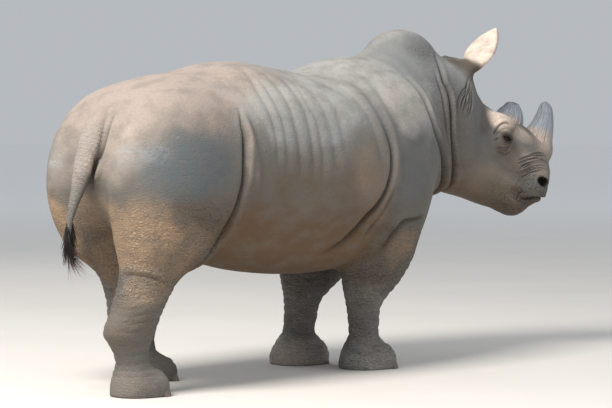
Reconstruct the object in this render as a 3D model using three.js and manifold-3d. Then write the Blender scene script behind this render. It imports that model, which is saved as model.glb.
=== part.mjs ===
// A life-size standing white rhinoceros, head turned to its right, as a still display model.
// Millimetres, +X the way the body faces, +Y its left side, +Z up, soles on Z = 0.
// The flesh is one smooth body described by solid fields, cut by planes into head, neck, trunk and legs.
// Horns, eyes, ears, tail, tail tuft and toenails are swept or turned solids let into it.
import * as THREE from "three";
import { mergeVertices } from "three/addons/utils/BufferGeometryUtils.js";
import Module from "manifold-3d";

const wasm = await Module();
wasm.setup();

// ---------------------------------------------------------------- driving dimensions
const GAP = 0.4; // clearance between neighbouring nodes
const ORIGIN_X = 577; // body station that stands over the middle of the bounding box
const CELL = { trunk: 142, neck: 104, head: 62, upperLeg: 90, lowerLeg: 68 };
const HEAD_PITCH = THREE.MathUtils.degToRad(30); // nose below the horizontal
const HEAD_TURN = THREE.MathUtils.degToRad(27.5); // towards the right side
const HEAD_AT = new THREE.Vector3(1700, -90, 1380); // middle of the head between the ears
const EYE_RADIUS = 21;
const NAIL_SIDES = 8;

// The head's own axes: forward to the nose, right, and up through the brow.
const AHEAD = new THREE.Vector3(
  Math.cos(HEAD_TURN) * Math.cos(HEAD_PITCH),
  -Math.sin(HEAD_TURN) * Math.cos(HEAD_PITCH),
  -Math.sin(HEAD_PITCH),
);
const RIGHT = new THREE.Vector3(-Math.sin(HEAD_TURN), -Math.cos(HEAD_TURN), 0);
const BROW = new THREE.Vector3().crossVectors(AHEAD, RIGHT).negate();
const headPoint = (a, r, u) =>
  HEAD_AT.clone().addScaledVector(AHEAD, a).addScaledVector(RIGHT, r).addScaledVector(BROW, u);

// ---------------------------------------------------------------- solid fields
// A field is negative inside, and near its surface it is about the distance in millimetres.
const bodyAxes = { along: [1, 0, 0], up: [0, 0, 1], side: [0, 1, 0], at: [0, 0, 0] };
const legAxes = { along: [0, 0, 1], up: [1, 0, 0], side: [0, 1, 0], at: [0, 0, 0] };
const headAxes = {
  along: AHEAD.toArray(),
  up: BROW.toArray(),
  side: RIGHT.toArray(),
  at: HEAD_AT.toArray(),
};

function local(axes, p) {
  const d = [p[0] - axes.at[0], p[1] - axes.at[1], p[2] - axes.at[2]];
  return [axes.along, axes.side, axes.up].map((v) => v[0] * d[0] + v[1] * d[1] + v[2] * d[2]);
}

// A smooth curve through a table's rows at place s, column by column.
function sampled(rows, s) {
  let i = 0;
  while (i < rows.length - 2 && s > rows[i + 1][0]) i++;
  const [a, b] = [rows[i], rows[i + 1]];
  const before = rows[Math.max(i - 1, 0)];
  const after = rows[Math.min(i + 2, rows.length - 1)];
  const t = (s - a[0]) / (b[0] - a[0]);
  const slope = (p, q, k) => (q[0] === p[0] ? 0 : (q[k] - p[k]) / (q[0] - p[0]));
  return a.map((_, k) => {
    const m0 = slope(before, b, k) * (b[0] - a[0]);
    const m1 = slope(a, after, k) * (b[0] - a[0]);
    const [t2, t3] = [t * t, t * t * t];
    const ends = (2 * t3 - 3 * t2 + 1) * a[k] + (3 * t2 - 2 * t3) * b[k];
    return ends + (t3 - 2 * t2 + t) * m0 + (t3 - t2) * m1;
  });
}

// A limb or trunk: sections along an axis, each [place, high, low, half width, widest level, side offset].
function tube(axes, rows, power = 2.3) {
  const [first, last] = [rows[0][0], rows[rows.length - 1][0]];
  return (p) => {
    const [s, y, z] = local(axes, p);
    const inside = Math.min(Math.max(s, first), last);
    const [, high, low, half, level, offset] = sampled(rows, inside);
    const tall = z > level ? high - level : level - low;
    const ry = Math.abs(y - offset) / half;
    const rz = Math.abs(z - level) / tall;
    const k = Math.pow(Math.pow(ry, power) + Math.pow(rz, power), 1 / power);
    const gradient = Math.hypot(
      Math.pow(ry / Math.max(k, 1e-6), power - 1) / half,
      Math.pow(rz / Math.max(k, 1e-6), power - 1) / tall,
    );
    const d = (k - 1) / Math.max(gradient, 1 / Math.max(half, tall));
    return s === inside ? d : Math.hypot(Math.max(d, 0), s - inside);
  };
}

function ellipsoid(axes, centre, radii) {
  return (p) => {
    const q = local(axes, p).map((v, i) => v - centre[i]);
    const k0 = Math.hypot(q[0] / radii[0], q[1] / radii[1], q[2] / radii[2]);
    const k1 = Math.hypot(q[0] / radii[0] ** 2, q[1] / radii[1] ** 2, q[2] / radii[2] ** 2);
    return k0 < 1e-6 ? -Math.min(...radii) : (k0 * (k0 - 1)) / k1;
  };
}

function blend(a, b, k) {
  const h = Math.max(k - Math.abs(a - b), 0) / k;
  return Math.min(a, b) - (h * h * k) / 4;
}

// ---------------------------------------------------------------- the animal's sizes
// Columns: place, high, low, half width, widest level, side offset.
const TRUNK = [
  [-905, 1120, 960, 80, 1060, 0],
  [-850, 1236, 845, 215, 1060, 0],
  [-730, 1372, 740, 318, 1050, 0],
  [-520, 1458, 680, 398, 1040, 0],
  [-300, 1490, 628, 448, 1015, 0],
  [-60, 1540, 545, 485, 985, 0],
  [220, 1518, 497, 515, 950, 0],
  [500, 1494, 490, 512, 940, 0],
  [790, 1574, 525, 460, 980, 0],
  [1000, 1594, 620, 388, 1050, 0],
  [1200, 1592, 765, 318, 1140, 0],
  [1340, 1560, 870, 250, 1180, -10],
];
const NECK = [
  [1080, 1586, 700, 345, 1110, 0],
  [1250, 1606, 790, 315, 1150, -10],
  [1400, 1606, 845, 286, 1180, -30],
  [1550, 1598, 885, 258, 1195, -55],
  [1640, 1560, 905, 208, 1180, -75],
  [1715, 1440, 940, 150, 1160, -95],
];
// Forward along the head: place, top, bottom, half width, widest level, offset.
const HEAD = [
  [-190, 150, -400, 150, -130, 0],
  [-110, 182, -450, 192, -140, 0],
  [-50, 160, -470, 198, -150, 0],
  [0, 112, -484, 198, -160, 0],
  [50, 66, -488, 192, -170, 0],
  [110, 46, -488, 184, -180, 0],
  [200, 42, -475, 170, -190, 0],
  [300, 44, -455, 156, -190, 0],
  [400, 62, -437, 143, -200, 0],
  [500, 34, -410, 134, -215, 0],
  [580, -5, -368, 132, -205, 0],
  [640, -60, -315, 122, -195, 0],
  [668, -108, -260, 88, -185, 0],
];
// Up the leg: place, front, back, half width, middle, side offset.
const FRONT_LEG = [
  [-30, 130, -128, 125, 0, 0],
  [40, 134, -134, 132, 0, 0],
  [105, 106, -113, 112, 0, 0],
  [165, 64, -85, 82, -10, 0],
  [235, 66, -88, 80, -12, 0],
  [325, 84, -102, 90, -10, 0],
  [430, 222, -130, 112, 30, 0],
  [560, 315, -155, 138, 70, -10],
  [700, 312, -230, 165, 50, -35],
  [860, 325, -220, 170, 60, -50],
  [1000, 280, -140, 130, 60, -50],
];
const HIND_LEG = [
  [-30, 122, -118, 115, 0, 0],
  [40, 128, -120, 121, 0, 0],
  [100, 84, -108, 104, -14, 0],
  [150, 50, -98, 82, -24, 0],
  [210, 48, -122, 80, -38, 0],
  [290, 88, -178, 95, -45, 0],
  [400, 142, -122, 108, 5, 0],
  [556, 240, -68, 128, 85, -5],
  [700, 340, -80, 165, 120, -15],
  [880, 400, -40, 160, 180, -20],
];
// Each leg: its table, where the foot stands, how far it leans forward per millimetre of height,
// how far its shank is carried forward, and its girth.
const LEGS = {
  front_right: { table: FRONT_LEG, x: 785, y: -215, lean: 0, carry: 0, girth: 1 },
  front_left: { table: FRONT_LEG, x: 710, y: 185, lean: 0.12, carry: 20, girth: 1.07 },
  hind_right: { table: HIND_LEG, x: -800, y: -215, lean: 0, carry: 0, girth: 1 },
  hind_left: { table: HIND_LEG, x: -345, y: 205, lean: -0.37, carry: 45, girth: 1 },
};

function legField({ table, x, y, lean, carry, girth }) {
  const away = Math.sign(y);
  const rows = table.map(([z, front, back, half, middle, out]) => {
    const carried = carry * Math.exp(-(((z - 300) / 140) ** 2));
    const shift = x + lean * z * Math.sqrt(Math.max(z, 0) / 500) + carried;
    return [z, front * girth + shift, back * girth + shift, half * girth, middle + shift, y - away * out];
  });
  return tube(legAxes, rows, 2.15);
}

// name: [field, blending distance], joined in this order.
const MASSES = {
  trunk: [tube(bodyAxes, TRUNK, 2.35), 0],
  neck: [tube(bodyAxes, NECK, 2.2), 90],
  hump: [ellipsoid(bodyAxes, [1304, -5, 1478], [284, 188, 264]), 45],
  haunch_right: [ellipsoid(bodyAxes, [-585, -222, 965], [345, 245, 425]), 90],
  haunch_left: [ellipsoid(bodyAxes, [-552, 217, 965], [355, 240, 425]), 90],
  shoulder_right: [ellipsoid(bodyAxes, [922, -265, 1020], [272, 180, 420]), 110],
  shoulder_left: [ellipsoid(bodyAxes, [922, 265, 1020], [272, 180, 420]), 110],
  leg_front_right: [legField(LEGS.front_right), 70],
  leg_front_left: [legField(LEGS.front_left), 70],
  leg_hind_right: [legField(LEGS.hind_right), 70],
  leg_hind_left: [legField(LEGS.hind_left), 70],
  head: [tube(headAxes, HEAD, 2.25), 60],
  jaw_right: [ellipsoid(headAxes, [160, 95, -290], [190, 100, 180]), 60],
  jaw_left: [ellipsoid(headAxes, [160, -95, -290], [190, 100, 180]), 60],
  brow_right: [ellipsoid(headAxes, [255, 108, -5], [80, 52, 42]), 40],
  brow_left: [ellipsoid(headAxes, [255, -108, -5], [80, 52, 42]), 40],
  horn_boss: [ellipsoid(headAxes, [512, 0, -10], [118, 92, 60]), 40],
  horn_seat: [ellipsoid(headAxes, [578, 0, 0], [58, 84, 80]), 34],
  upper_lip: [ellipsoid(headAxes, [602, 0, -222], [88, 143, 76]), 40],
  lower_lip: [ellipsoid(headAxes, [540, 0, -335], [95, 112, 78]), 40],
};

function body(p) {
  let d = Infinity;
  for (const [field, k] of Object.values(MASSES)) {
    const value = field(p);
    d = d === Infinity ? value : blend(d, value, Math.max(k, 1));
  }
  return d;
}

// ---------------------------------------------------------------- from fields to closed meshes
// Surface nets: one vertex in each cell that the surface crosses, one quad for each crossed grid edge.
function netOf(field, low, high, cell) {
  const count = low.map((v, i) => Math.ceil((high[i] - v) / cell) + 1);
  const at = (i, j, k) => (k * count[1] + j) * count[0] + i;
  const values = new Float32Array(count[0] * count[1] * count[2]);
  const place = (i, j, k) => [low[0] + i * cell, low[1] + j * cell, low[2] + k * cell];
  for (let k = 0; k < count[2]; k++)
    for (let j = 0; j < count[1]; j++)
      for (let i = 0; i < count[0]; i++) {
        const rim = [i, j, k].some((v, axis) => v === 0 || v === count[axis] - 1);
        const value = field(place(i, j, k));
        values[at(i, j, k)] = rim ? Math.max(value, 1) : value;
      }
  const corners = [0, 1, 2, 3, 4, 5, 6, 7].map((c) => [c & 1, (c >> 1) & 1, (c >> 2) & 1]);
  const edges = corners.flatMap((a, m) =>
    corners.map((b, n) => [m, n]).filter(([, n]) => n > m && [1, 2, 4].includes(m ^ n)),
  );
  const vertexOf = new Map();
  const points = [];
  for (let k = 0; k < count[2] - 1; k++)
    for (let j = 0; j < count[1] - 1; j++)
      for (let i = 0; i < count[0] - 1; i++) {
        const held = corners.map(([a, b, c]) => values[at(i + a, j + b, k + c)]);
        const crossed = edges.filter(([m, n]) => held[m] < 0 !== held[n] < 0);
        if (!crossed.length) continue;
        const sum = [0, 0, 0];
        for (const [m, n] of crossed) {
          const t = held[m] / (held[m] - held[n]);
          for (let axis = 0; axis < 3; axis++)
            sum[axis] += corners[m][axis] + t * (corners[n][axis] - corners[m][axis]);
        }
        vertexOf.set(at(i, j, k), points.length);
        const corner = place(i, j, k);
        const middle = sum.map((v, axis) => corner[axis] + (v / crossed.length) * cell);
        points.push(settled(field, middle, cell));
      }
  const faces = [];
  const quad = (a, b, c, d, flip) => {
    const far = (m, n) => Math.hypot(...points[m].map((v, axis) => v - points[n][axis]));
    const split = far(a, c) <= far(b, d) ? [a, b, c, a, c, d] : [a, b, d, b, c, d];
    for (let n = 0; n < 6; n += 3) {
      const [x, y, z] = split.slice(n, n + 3);
      faces.push(...(flip ? [x, z, y] : [x, y, z]));
    }
  };
  const cellAt = (i, j, k) => vertexOf.get(at(i, j, k));
  for (let k = 0; k < count[2] - 1; k++)
    for (let j = 0; j < count[1] - 1; j++)
      for (let i = 0; i < count[0] - 1; i++) {
        const here = values[at(i, j, k)] < 0;
        if (here !== values[at(i + 1, j, k)] < 0)
          quad(cellAt(i, j - 1, k - 1), cellAt(i, j, k - 1), cellAt(i, j, k), cellAt(i, j - 1, k), !here);
        if (here !== values[at(i, j + 1, k)] < 0)
          quad(cellAt(i - 1, j, k - 1), cellAt(i - 1, j, k), cellAt(i, j, k), cellAt(i, j, k - 1), !here);
        if (here !== values[at(i, j, k + 1)] < 0)
          quad(cellAt(i - 1, j - 1, k), cellAt(i, j - 1, k), cellAt(i, j, k), cellAt(i - 1, j, k), !here);
      }
  return new THREE.BufferGeometry()
    .setAttribute("position", new THREE.Float32BufferAttribute(points.flat(), 3))
    .setIndex(faces);
}

// Slides a point along the field's slope until it lies on the surface, by less than a cell.
function settled(field, start, cell) {
  const point = [...start];
  const step = 1;
  for (let round = 0; round < 3; round++) {
    const value = field(point);
    const slope = [0, 1, 2].map((axis) => {
      const ahead = [...point];
      ahead[axis] += step;
      return (field(ahead) - value) / step;
    });
    const steep = Math.max(slope.reduce((sum, v) => sum + v * v, 0), 0.2);
    const move = Math.max(-cell / 3, Math.min(cell / 3, value)) / steep;
    point.forEach((_, axis) => (point[axis] -= slope[axis] * move));
  }
  return point;
}

// A closed skin round rings of points, each ring the same even length, with a strip over each end.
function lofted(rings) {
  const sides = rings[0].length;
  const faces = [];
  for (let r = 0; r < rings.length - 1; r++)
    for (let s = 0; s < sides; s++) {
      const [a, b] = [r * sides + s, r * sides + ((s + 1) % sides)];
      faces.push(a, b, b + sides, a, b + sides, a + sides);
    }
  const top = (rings.length - 1) * sides;
  for (let s = 0; s < sides / 2 - 1; s++) {
    const [a, b, c, d] = [s, s + 1, sides - 2 - s, sides - 1 - s];
    faces.push(b, a, c, c, a, d);
    faces.push(top + a, top + b, top + c, top + a, top + c, top + d);
  }
  return new THREE.BufferGeometry().setFromPoints(rings.flat()).setIndex(faces);
}

// A swept rod: a curve through points, and [share of length, radius across, radius along] rows.
function rod(points, rows, sides, across, grow = 0, steps = 12) {
  const curve = new THREE.CatmullRomCurve3(points);
  const rings = [];
  for (let n = 0; n <= steps; n++) {
    const t = n / steps;
    const [, ra, rb] = sampled(rows, t);
    const tangent = curve.getTangent(t);
    const u = across.clone().addScaledVector(tangent, -across.dot(tangent)).normalize();
    const v = new THREE.Vector3().crossVectors(tangent, u);
    const beyondEnd = n === 0 ? -grow : n === steps ? grow : 0;
    const middle = curve.getPoint(t).addScaledVector(tangent, beyondEnd);
    rings.push(
      Array.from({ length: sides }, (_, s) => {
        const angle = (s / sides) * 2 * Math.PI;
        return middle
          .clone()
          .addScaledVector(u, Math.cos(angle) * (ra + grow))
          .addScaledVector(v, Math.sin(angle) * (rb + grow));
      }),
    );
  }
  return lofted(rings);
}

function solid(geometry) {
  const plain = new THREE.BufferGeometry().setAttribute("position", geometry.getAttribute("position"));
  if (geometry.index) plain.setIndex(geometry.index);
  const merged = mergeVertices(plain, 1e-3);
  return new wasm.Manifold(
    new wasm.Mesh({
      numProp: 3,
      vertProperties: merged.attributes.position.array,
      triVerts: new Uint32Array(merged.index.array),
    }),
  );
}

function geometryOf(made) {
  const mesh = made.getMesh();
  return new THREE.BufferGeometry()
    .setAttribute("position", new THREE.BufferAttribute(mesh.vertProperties, 3))
    .setIndex(new THREE.BufferAttribute(mesh.triVerts, 1));
}

// The block of space on the side that a plane's normal points to, starting `back` behind the plane.
function beyond(point, normal, back = 0, size = 3000) {
  const block = new THREE.BoxGeometry(size, size, size).translate(0, 0, size / 2 - back);
  const up = new THREE.Vector3(0, 0, 1);
  const turn = new THREE.Quaternion().setFromUnitVectors(up, normal.clone().normalize());
  return solid(block.applyQuaternion(turn).translate(point.x, point.y, point.z));
}

function box(low, high) {
  const size = low.map((v, i) => high[i] - v);
  const middle = low.map((v, i) => (v + high[i]) / 2);
  return solid(new THREE.BoxGeometry(...size).translate(...middle));
}
const GROUND = box([-3000, -3000, -3000], [4000, 3000, 0]);

// ---------------------------------------------------------------- materials
const material = (color, roughness) => new THREE.MeshStandardMaterial({ color, roughness, metalness: 0 });
const MATERIALS = {
  skin: material(0x8b8076, 0.85),
  horn: material(0x6f7276, 0.7),
  eye: material(0x1a120d, 0.15),
  nail: material(0x6d665e, 0.6),
  tuft: material(0x1f1a18, 0.9),
};
const rhino = new THREE.Group();
function add(name, made, slot) {
  const mesh = new THREE.Mesh(geometryOf(made), MATERIALS[slot]);
  mesh.name = name;
  rhino.add(mesh);
}

// ---------------------------------------------------------------- parting planes
const vec = (x, y, z) => new THREE.Vector3(x, y, z);
const NECK_FOLD = [vec(1190, 0, 1100), vec(0.97, -0.12, -0.12)];
const HEAD_FOLD = [headPoint(-147, 0, 60), vec(Math.cos(HEAD_TURN), -Math.sin(HEAD_TURN), -0.35)];
// Leg tops: the plane rises outward from between the legs; ankle and knee cuts are level.
const LEG_CUTS = {
  front: { inner: 25, rise: 0.75, base: 500, reach: [-290, 480], knee: 330, ankle: 120 },
  hind: { inner: 25, rise: 0.8, base: 520, reach: [-330, 470], knee: 300, ankle: 118 },
};

function legSpace(name, grow) {
  const end = name.split("_")[0];
  const { x, y } = LEGS[name];
  const cut = LEG_CUTS[end];
  const away = Math.sign(y);
  const top = vec(x, away * cut.inner, cut.base + grow);
  const under = beyond(top, vec(0, away * cut.rise, -1).normalize());
  const low = [x + cut.reach[0] - grow, away > 0 ? cut.inner - grow : -1500, -500];
  const high = [x + cut.reach[1] + grow, away > 0 ? 1500 : -cut.inner + grow, 2000];
  return under.intersect(box(low, high));
}

// ---------------------------------------------------------------- pieces let into the flesh
// Horns rise on the head's middle plane: [forward, up] points, then shares, half width, half length.
const HORNS = {
  horn_front: {
    line: [[520, -50], [520, 30], [512, 110], [492, 180], [458, 247]],
    girth: [[0, 84, 103], [0.27, 80, 102], [0.5, 64, 83], [0.7, 48, 60], [0.86, 34, 41], [1, 15, 18]],
    steps: 7,
  },
  horn_rear: {
    line: [[318, -20], [317, 45], [306, 98], [288, 145]],
    girth: [[0, 60, 86], [0.33, 58, 86], [0.6, 49, 70], [0.82, 37, 50], [1, 20, 30]],
    steps: 5,
  },
};
function horn({ line, girth, steps }, grow) {
  const points = line.map(([a, up]) => headPoint(a, 0, up));
  return solid(rod(points, girth, 12, RIGHT, grow, steps));
}

const EYES = { eye_right: 1, eye_left: -1 };
const eyeball = (side, grow) => {
  const at = headPoint(292, side * 150, -79);
  return new THREE.SphereGeometry(EYE_RADIUS + grow, 10, 6).translate(at.x, at.y, at.z);
};

// The nostrils, let into the sides of the muzzle: forward, to the side, up, and their half sizes.
const NOSTRIL = { at: [611, 128, -172], size: [34, 28, 24] };
function nostril(side) {
  const { at, size } = NOSTRIL;
  const turn = new THREE.Matrix4().makeBasis(AHEAD, RIGHT, BROW);
  const middle = headPoint(at[0], side * at[1], at[2]);
  return new THREE.SphereGeometry(1, 8, 6)
    .scale(...size)
    .applyMatrix4(turn)
    .translate(middle.x, middle.y, middle.z);
}

// A cupped leaf on a round stalk: shares of its length, half width, half depth.
const EAR_ROOT = [-82, 112, 132]; // on the head: forward, to its side, up
const EAR_LENGTH = 288;
const EAR_LEAF = [
  [0, 58, 44], [0.16, 66, 45], [0.3, 88, 44], [0.45, 100, 42],
  [0.62, 98, 36], [0.78, 76, 28], [0.92, 40, 16], [1, 10, 6],
];
// The middles of the leaf and of its cup: share of the length, forward, inward.
const EAR_BACK = [[-0.16, 0, 0], [0.2, 0, -4], [0.6, 0, 6], [1, -6, -8]];
const EAR_HOLLOW = [[0.12, 25, 2], [0.4, 34, 6], [0.7, 29, 5], [1.02, 16, -8]];
const EAR_CUP = [[0, 16, 22], [0.2, 54, 46], [0.4, 88, 54], [0.6, 84, 50], [0.8, 62, 38], [1, 18, 15]];
function ear({ side, aim, opening }, grow) {
  const root = headPoint(EAR_ROOT[0], side * EAR_ROOT[1], EAR_ROOT[2]);
  const up = aim.clone().normalize();
  const front = opening.clone().addScaledVector(up, -opening.dot(up)).normalize();
  const across = new THREE.Vector3().crossVectors(up, front);
  const at = ([share, forward, inward]) =>
    root
      .clone()
      .addScaledVector(up, share * EAR_LENGTH)
      .addScaledVector(front, forward)
      .addScaledVector(across, inward * side);
  const leaf = solid(rod(EAR_BACK.map(at), EAR_LEAF, 10, across, grow, 7));
  return grow > 0 ? leaf : leaf.subtract(solid(rod(EAR_HOLLOW.map(at), EAR_CUP, 8, across, 0, 5)));
}
const EARS = {
  ear_right: { side: 1, aim: vec(0.61, -0.22, 0.76), opening: vec(0.95, -0.05, -0.45) },
  ear_left: { side: -1, aim: vec(0.47, 0.86, -0.14), opening: vec(0.55, -0.25, 0.78) },
};

const TAIL_LINE = [
  vec(-745, 0, 1318),
  vec(-822, -8, 1254),
  vec(-884, -22, 1165),
  vec(-924, -24, 1081),
  vec(-955, -20, 1003),
  vec(-976, -13, 926),
  vec(-1000, -6, 848),
  vec(-1017, -2, 770),
  vec(-1023, 0, 672),
];
const TAIL_GIRTH = [
  [0, 44, 44], [0.125, 52, 52], [0.25, 60, 58], [0.375, 52, 50], [0.5, 41, 40],
  [0.625, 30, 30], [0.75, 21, 21], [0.875, 15, 14], [1, 8, 7],
];
const TUFT_LINE = [
  vec(-1017, 0, 757),
  vec(-1026, 0, 700),
  vec(-1015, 0, 650),
  vec(-988, 0, 595),
  vec(-957, 0, 548),
];
const TUFT_GIRTH = [[0, 18, 22], [0.25, 24, 36], [0.5, 26, 40], [0.75, 20, 28], [1, 6, 9]];
const ACROSS = vec(0, 1, 0);
const tailRod = (grow) => solid(rod(TAIL_LINE, TAIL_GIRTH, 10, ACROSS, grow, 12));
const tuftRod = (grow) => solid(rod(TUFT_LINE, TUFT_GIRTH, 8, ACROSS, grow, 7));

// Three toenails round the front of each foot: turn from straight ahead, half width, height.
const TOES = [
  { name: "middle", turn: 0, half: 52, high: 62 },
  { name: "outer", turn: 58, half: 40, high: 52 },
  { name: "inner", turn: -58, half: 40, high: 52 },
];
function toenail(leg, toe, grow) {
  const { x, y, table } = LEGS[leg];
  const [, front, , half] = table[1];
  const away = Math.sign(y);
  const turn = THREE.MathUtils.degToRad(toe.turn) * away;
  const at = vec(x + Math.cos(turn) * (front - 14), y + Math.sin(turn) * (half - 13), 16);
  return new THREE.SphereGeometry(1, NAIL_SIDES, 5)
    .scale(24 + grow, toe.half + grow, toe.high + grow)
    .rotateY(-0.22)
    .rotateZ(turn)
    .translate(at.x, at.y, at.z);
}

// ---------------------------------------------------------------- flesh, cut into nodes
function flesh(low, high, cell) {
  return solid(netOf(body, low, high, cell)).subtract(GROUND);
}

function largest(made) {
  return made.decompose().sort((a, b) => b.volume() - a.volume())[0];
}

function buildTrunk() {
  let made = flesh([-1100, -640, 380], [1480, 640, 1800], CELL.trunk);
  made = made.subtract(beyond(...NECK_FOLD));
  for (const name of Object.keys(LEGS)) made = made.subtract(legSpace(name, GAP));
  return largest(made.subtract(tailRod(GAP)));
}

function buildNeck() {
  const made = flesh([950, -520, 560], [1990, 460, 1820], CELL.neck);
  const kept = made.intersect(beyond(...NECK_FOLD, -GAP));
  const legs = ["front_right", "front_left"].map((name) => legSpace(name, GAP));
  return largest(legs.reduce((left, leg) => left.subtract(leg), kept.subtract(beyond(...HEAD_FOLD))));
}

function buildHead() {
  let made = flesh([1290, -650, 590], [2330, 360, 1720], CELL.head).intersect(beyond(...HEAD_FOLD, -GAP));
  for (const shape of Object.values(HORNS)) made = made.subtract(horn(shape, GAP));
  for (const side of Object.values(EYES)) made = made.subtract(solid(eyeball(side, GAP)));
  for (const side of [1, -1]) made = made.subtract(solid(nostril(side)));
  for (const placed of Object.values(EARS)) made = made.subtract(ear(placed, GAP));
  return largest(made);
}

function buildLeg(name) {
  const { x, y } = LEGS[name];
  const cut = LEG_CUTS[name.split("_")[0]];
  const away = Math.sign(y);
  const side = away > 0 ? [-10, 620] : [-620, 10];
  const space = legSpace(name, 0);
  const level = (low, high) => box([-2000, -1000, low], [2500, 1000, high]);
  const upper = flesh([x - 420, side[0], 200], [x + 620, side[1], 1250], CELL.upperLeg).intersect(space);
  const lower = flesh([x - 380, side[0], -80], [x + 380, side[1], 450], CELL.lowerLeg).intersect(space);
  let foot = lower.intersect(level(0, cut.ankle - GAP));
  for (const toe of TOES) {
    add(`toenail_${name}_${toe.name}`, solid(toenail(name, toe, 0)).subtract(GROUND), "nail");
    foot = foot.subtract(solid(toenail(name, toe, GAP)));
  }
  add(`leg_${name}_upper`, largest(upper.intersect(level(cut.knee, 1400))), "skin");
  add(`leg_${name}_lower`, largest(lower.intersect(level(cut.ankle, cut.knee - GAP))), "skin");
  add(`foot_${name}`, largest(foot), "skin");
}

add("trunk", buildTrunk(), "skin");
add("neck", buildNeck(), "skin");
add("head", buildHead(), "skin");
Object.keys(LEGS).forEach(buildLeg);
for (const [name, placed] of Object.entries(EARS)) add(name, ear(placed, 0), "skin");
for (const [name, shape] of Object.entries(HORNS)) add(name, horn(shape, 0), "horn");
for (const [name, side] of Object.entries(EYES)) add(name, solid(eyeball(side, 0)), "eye");
add("tail", tailRod(0), "skin");
add("tail_tuft", tuftRod(0).subtract(tailRod(GAP)), "tuft");

rhino.position.x = -ORIGIN_X;
export default rhino;
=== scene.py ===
"""A life-size standing white rhinoceros: one wrinkled skin, with horns, eyes, nails and hair."""

import math
from concurrent.futures import ThreadPoolExecutor

import bpy
import numpy as np
from bpy.props import FloatProperty, FloatVectorProperty, IntProperty, PointerProperty
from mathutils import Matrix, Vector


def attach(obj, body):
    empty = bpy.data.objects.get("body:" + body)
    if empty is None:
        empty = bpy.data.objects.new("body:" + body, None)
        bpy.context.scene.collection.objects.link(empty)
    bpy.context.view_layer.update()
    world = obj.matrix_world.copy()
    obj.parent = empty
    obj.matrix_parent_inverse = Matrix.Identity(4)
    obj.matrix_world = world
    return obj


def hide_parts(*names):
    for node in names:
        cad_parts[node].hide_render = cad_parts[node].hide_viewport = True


bl_info = {
    "name": "Standing rhinoceros",
    "version": (1, 0, 0),
    "blender": (4, 5, 0),
    "location": "3D View > Sidebar > Rhinoceros",
    "description": "Skin, horns, eyes, nails and hair of a life-size white rhinoceros",
    "category": "Add Mesh",
}

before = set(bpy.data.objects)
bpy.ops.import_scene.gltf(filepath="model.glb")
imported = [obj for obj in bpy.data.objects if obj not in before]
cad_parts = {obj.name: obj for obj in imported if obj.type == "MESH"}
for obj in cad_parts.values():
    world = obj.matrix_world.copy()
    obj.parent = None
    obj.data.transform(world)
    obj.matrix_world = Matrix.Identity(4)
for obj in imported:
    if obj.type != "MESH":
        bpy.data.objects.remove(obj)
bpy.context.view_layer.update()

# ---------------------------------------------------------------- the body's own frame
# Millimetres, x forward, y to the left, z up. The frame's origin lies ORIGIN_X further forward.
ORIGIN_X = 577.0
HEAD_PITCH, HEAD_TURN = math.radians(30), math.radians(27.5)
HEAD_AT = (1700, -90, 1380)


def unit(v):
    v = np.asarray(v, float)
    return v / np.linalg.norm(v)


def to_frame(p):
    """Body millimetres to the frame's metres."""
    return (np.asarray(p, float) - [ORIGIN_X, 0, 0]) / 1000


class Axes:
    """Where a mass stands, with its own directions along, to the side and up."""

    def __init__(self, along, side, up, at=(0, 0, 0)):
        self.turn = np.array([along, side, up], float)
        self.at = np.array(at, float)

    def local(self, p):
        return (p - self.at) @ self.turn.T

    def out(self, q):
        return np.asarray(q, float) @ self.turn + self.at


AHEAD = np.array(
    [
        math.cos(HEAD_TURN) * math.cos(HEAD_PITCH),
        -math.sin(HEAD_TURN) * math.cos(HEAD_PITCH),
        -math.sin(HEAD_PITCH),
    ]
)
RIGHT = np.array([-math.sin(HEAD_TURN), -math.cos(HEAD_TURN), 0])
BROW = -np.cross(AHEAD, RIGHT)
BODY = Axes([1, 0, 0], [0, 1, 0], [0, 0, 1])
LEG = Axes([0, 0, 1], [0, 1, 0], [1, 0, 0])
HEAD = Axes(AHEAD, RIGHT, BROW, HEAD_AT)

# ---------------------------------------------------------------- the animal's sizes
# Columns: place, high, low, half width, widest level, side offset.
TRUNK_ROWS = [
    [-905, 1120, 960, 80, 1060, 0],
    [-850, 1236, 845, 215, 1060, 0],
    [-730, 1372, 740, 318, 1050, 0],
    [-520, 1458, 680, 398, 1040, 0],
    [-300, 1490, 628, 448, 1015, 0],
    [-60, 1540, 545, 485, 985, 0],
    [220, 1518, 497, 515, 950, 0],
    [500, 1494, 490, 512, 940, 0],
    [790, 1574, 525, 460, 980, 0],
    [1000, 1594, 620, 388, 1050, 0],
    [1200, 1592, 765, 318, 1140, 0],
    [1340, 1560, 870, 250, 1180, -10],
]
NECK_ROWS = [
    [1080, 1586, 700, 345, 1110, 0],
    [1250, 1606, 790, 315, 1150, -10],
    [1400, 1606, 845, 286, 1180, -30],
    [1550, 1598, 885, 258, 1195, -55],
    [1640, 1560, 905, 208, 1180, -75],
    [1715, 1440, 940, 150, 1160, -95],
]
HEAD_ROWS = [
    [-190, 150, -400, 150, -130, 0],
    [-110, 182, -450, 192, -140, 0],
    [-50, 160, -470, 198, -150, 0],
    [0, 112, -484, 198, -160, 0],
    [50, 66, -488, 192, -170, 0],
    [110, 46, -488, 184, -180, 0],
    [200, 42, -475, 170, -190, 0],
    [300, 44, -455, 156, -190, 0],
    [400, 62, -437, 143, -200, 0],
    [500, 34, -410, 134, -215, 0],
    [580, -5, -368, 132, -205, 0],
    [640, -60, -315, 122, -195, 0],
    [668, -108, -260, 88, -185, 0],
]
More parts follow.
